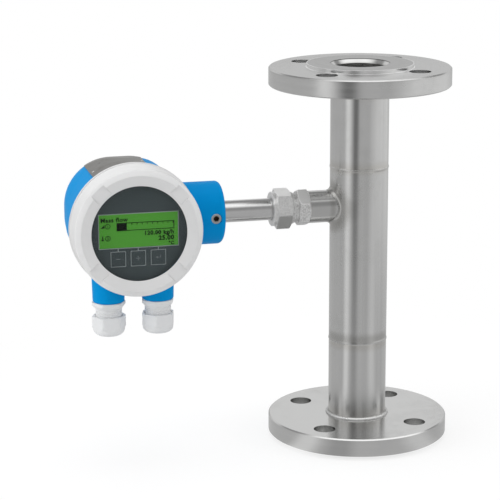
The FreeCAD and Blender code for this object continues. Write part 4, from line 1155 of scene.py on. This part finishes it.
def buildCover(look):
    form = turnedForm(coverLoop(look), look["count"])
    bmesh.ops.rotate(form, verts=form.verts, matrix=Matrix.Rotation(-quarter, 3, "X"))
    bmesh.ops.translate(form, verts=form.verts, vec=(part["houseX"], look["crestY"], part["tubeZ"]))
    cover = toObject(form, "coverRing", "whiteCoat")
    cutter = toObject(slotCutter(look), "slotCutter")
    mill = cover.modifiers.new("slots", "BOOLEAN")
    mill.operation = "DIFFERENCE"
    mill.solver = "EXACT"
    mill.object = cutter
    settle(cover)
    bpy.data.objects.remove(cutter)
    cover.data.shade_smooth()
    cover.data.set_sharp_from_angle(angle=math.radians(look["sharp"]))
    cover.visible_glossy = False
    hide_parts("cover_ring")
    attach(cover, "cover_body")


buildCover(coverLook)
print("cover ring turned")


def spun(rows, count):  # a solid turned about Z from (radius, height) rows that start and end on the axis
    form = bmesh.new()
    rings = []
    for radius, height in rows:
        if radius == 0:
            rings.append([form.verts.new((0, 0, height))] * count)
        else:
            rings.append([form.verts.new(spot) for spot in circlePath(radius, height, count)])
    bridge(form, rings)
    return form


def takeMesh(whole, mesh):
    whole.from_mesh(mesh)
    bpy.data.meshes.remove(mesh)


pinLook = {"radius": 1.2, "seat": 0.15, "stem": 0.6, "dome": 0.5, "bends": (0.25, 0.6, 0.95, 1.3),
           "count": 24, "y": -8, "angles": (124.3, 75.7)}


def buildPins(look):  # domed drive pins at the ends of the nameplate
    whole = bmesh.new()
    radius, stem, dome = look["radius"], look["stem"], look["dome"]
    rows = [(0, 0), (radius, 0), (radius, stem)]
    rows += [(radius * math.cos(bend), stem + dome * math.sin(bend)) for bend in look["bends"]]
    rows.append((0, stem + dome))
    middle = Matrix.Translation((part["houseX"], look["y"], part["tubeZ"]))
    reach = Matrix.Translation((0, 0, part["drumRadius"] + look["seat"]))
    for angle in look["angles"]:
        pin = spun(rows, look["count"])
        lean = Matrix.Rotation(math.radians(90 - angle), 4, "Y")
        bmesh.ops.transform(pin, matrix=middle @ lean @ reach, verts=pin.verts)
        takeMesh(whole, formMesh(pin, "pin"))
    pins = toObject(whole, "nameplatePins", "pinSteel")
    pins.data.shade_smooth()
    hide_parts("nameplate_pins")
    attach(pins, "housing_body")


buildPins(pinLook)
print("pins set")


def strokeTree():  # a flat line of even width along paths in the XY plane
    tree, start, end = newGroup("printedLine", "Geometry", [
        ("Path", "Geometry", None), ("Width", "Float", 0.0004), ("Depth", "Float", 0.00003), finishIn],
        [("Line", "Geometry")])
    curve = addStep(tree, "GeometryNodeMeshToCurve", {"Mesh": start["Path"]})[0]
    upright = addStep(tree, "GeometryNodeSetCurveNormal", {"Curve": curve}, "Z_UP")[0]
    section = addStep(tree, "GeometryNodeCurvePrimitiveQuadrilateral", {
        "Width": start["Width"], "Height": start["Depth"]})[0]
    sweep = addStep(tree, "GeometryNodeCurveToMesh", {
        "Curve": upright, "Profile Curve": section, "Fill Caps": True})[0]
    return endTree(tree, sweep, start, end)


def tickTree():  # a row of short marks
    tree, start, end = newGroup("tickRow", "Geometry", [
        ("Blank", "Geometry", None), ("Count", "Int", 8), ("First", "Vector", None),
        ("Step", "Vector", None), ("Size", "Vector", None), finishIn], [("Ticks", "Geometry")])
    row = addStep(tree, "GeometryNodeMeshLine", {
        "Count": start["Count"], "Start Location": start["First"], "Offset": start["Step"]}, "OFFSET")[0]
    mark = addStep(tree, "GeometryNodeMeshCube", {"Size": start["Size"]})[0]
    marks = addStep(tree, "GeometryNodeInstanceOnPoints", {"Points": row, "Instance": mark})[0]
    return endTree(tree, marks, start, end)


# printed display, in millimetres from the panel's top left corner, right and down
displayLook = {
    "corner": (-227.0, 210.6),
    "panel": (62.6, 26.8),
    "inkFace": -56.8, "printFace": -57.0, "depth": 0.03,
    "words": [  # words, side they are set from, place, height of the letters, weight
        ("Mass flow", "LEFT", (1.2, 5.9), 4.8, 0.19), ("120.00 kg/h", "RIGHT", (59.4, 17.4), 4.5, 0.235),
        ("25.00", "RIGHT", (59.4, 22.1), 5.0, 0.255), ("\u00b0C", "RIGHT", (59.4, 26.2), 3.8, 0.21)],
    "spacing": 1.12, "curveSteps": 3,
    "badges": [((6.9, 9.2), "1"), ((6.9, 18.9), "2")],
    "badgeRadius": 1.9, "badgeSides": 32, "badgeLetter": 2.9, "badgeWeight": 0.1, "badgeDrop": 0.36,
    "ramp": [(1.2, 10.6), (4.4, 10.6), (4.4, 7.8)],
    "bulb": [(1.4, 20.6), (4.2, 20.6), (3.2, 19.2), (3.2, 16.8), (2.4, 16.8), (2.4, 19.2)],
    "bar": (14.2, 7.1, 59.4, 13.0), "filled": 22.0,
    "tickCount": 9, "tickFirst": (26.0, 8.0), "tickStep": 4.1, "tickSize": (0.6, 1.9),
    "line": 0.9, "thin": 0.6, "frame": 0.75,
    "keys": [(9.0, 29.9), (24.9, 29.9), (40.9, 29.9)], "keySize": (11.6, 12.0), "keyLine": 0.6,
    "keyStem": 2.6, "keySign": 3.4,
}


def flat(points):  # right and down, on the XY plane
    return [(x, -y, 0) for x, y in points]


def wordObject(words, side, place, height, weight, depth):
    letters = bpy.data.curves.new("words", "FONT")
    letters.body = words
    letters.align_x = side
    letters.size = height * mm
    letters.space_character = displayLook["spacing"]
    letters.offset = weight * mm
    letters.extrude = depth * mm / 2
    letters.resolution_u = displayLook["curveSteps"]
    holder = addObject("words", letters)
    mesh = plainMesh(holder)
    mesh.transform(Matrix.Translation(Vector((place[0], -place[1], 0)) * mm))
    bpy.data.objects.remove(holder)
    return addObject("words", mesh)


def plateObject(corners, depth):  # a flat filled shape
    form = bmesh.new()
    addBlock(form, *([(x, -y, level) for x, y in corners] for level in (-depth / 2, depth / 2)))
    return toObject(form, "shape")


def printed(name, pieces, level, finishName):  # flat pieces joined, stood up and laid on a face
    whole = bmesh.new()
    for piece in pieces:
        mesh = piece.data
        bpy.data.objects.remove(piece)
        takeMesh(whole, mesh)
    left, top = displayLook["corner"]
    stand = Matrix.Translation(Vector((left, level, top)) * mm) @ Matrix.Rotation(quarter, 4, "X")
    bmesh.ops.transform(whole, matrix=stand, verts=whole.verts)
    for face in whole.faces:
        face.material_index = 0
    made = addObject(name, formMesh(whole, name))
    made.data.materials.append(materials[finishName])
    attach(made, "display_body")


def buildDisplay(look):
    lines = strokeTree()
    depth = look["depth"]

    def stroke(name, loops, width):
        return runTree(lines, loopsObject(name, loops), {"Width": width * mm, "Depth": depth * mm})

    words = [wordObject(*row, depth) for row in look["words"]]
    rings = []
    for (x, y), number in look["badges"]:
        rings.append((circlePath(look["badgeRadius"], 0, look["badgeSides"], (x, -y)), True))
        low = (x, y + look["badgeLetter"] * look["badgeDrop"])
        words.append(wordObject(number, "CENTER", low, look["badgeLetter"], look["badgeWeight"], depth))
    left, top, right, low = look["bar"]
    box = flat(boxCorners(left, top, right, low))
    firstX, firstY = look["tickFirst"]
    wide, tall = look["tickSize"]
    ticks = runTree(tickTree(), blankObject("ticks"), {
        "Count": look["tickCount"], "First": Vector((firstX, -firstY, 0)) * mm,
        "Step": Vector((look["tickStep"], 0, 0)) * mm, "Size": Vector((wide, tall, depth)) * mm})
    filled = boxCorners(left, top, look["filled"], low)
    plates = [plateObject(corners, depth) for corners in (filled, look["ramp"], look["bulb"])]
    strokes = [stroke("badges", rings, look["thin"]), stroke("bar", [(box, True)], look["line"])]
    pieces = words + strokes + plates + [ticks]
    printed("displayInk", pieces, look["inkFace"] - depth / 2, "lcdInk")

    wide, tall = look["panel"]
    edge = look["frame"] / 2
    frameLoop = flat(boxCorners(-edge, -edge, wide + edge, tall + edge))
    wide, tall = look["keySize"]
    half = look["keySign"] / 2
    loops = []
    middles = []
    for x, y in look["keys"]:
        middle = x + wide / 2
        middles.append((middle, y + tall / 2))
        loops.append((flat(boxCorners(x, y, x + wide, y + tall)), True))
        loops.append((flat([(middle, y), (middle, y - look["keyStem"])]), False))
    pale = [stroke("frame", [(frameLoop, True)], look["frame"]), stroke("keys", loops, look["keyLine"])]
    printed("keyPrint", pale, look["printFace"] - depth / 2, "keyInk")

    (minusX, minusY), (plusX, plusY), (enterX, enterY) = middles
    tip = (enterX - half, enterY)
    signs = [
        [(minusX - half, minusY), (minusX + half, minusY)],
        [(plusX - half, plusY), (plusX + half, plusY)],
        [(plusX, plusY + half), (plusX, plusY - half)],
        [(enterX + half, enterY - half), (enterX + half, enterY), tip],
        [(enterX - half / 3, enterY - half / 2), tip, (enterX - half / 3, enterY + half / 2)],
    ]
    marks = [stroke("signs", [(flat(points), False) for points in signs], look["keyLine"])]
    printed("keySigns", marks, look["printFace"] - depth / 2, "signInk")


buildDisplay(displayLook)
print("display printed")
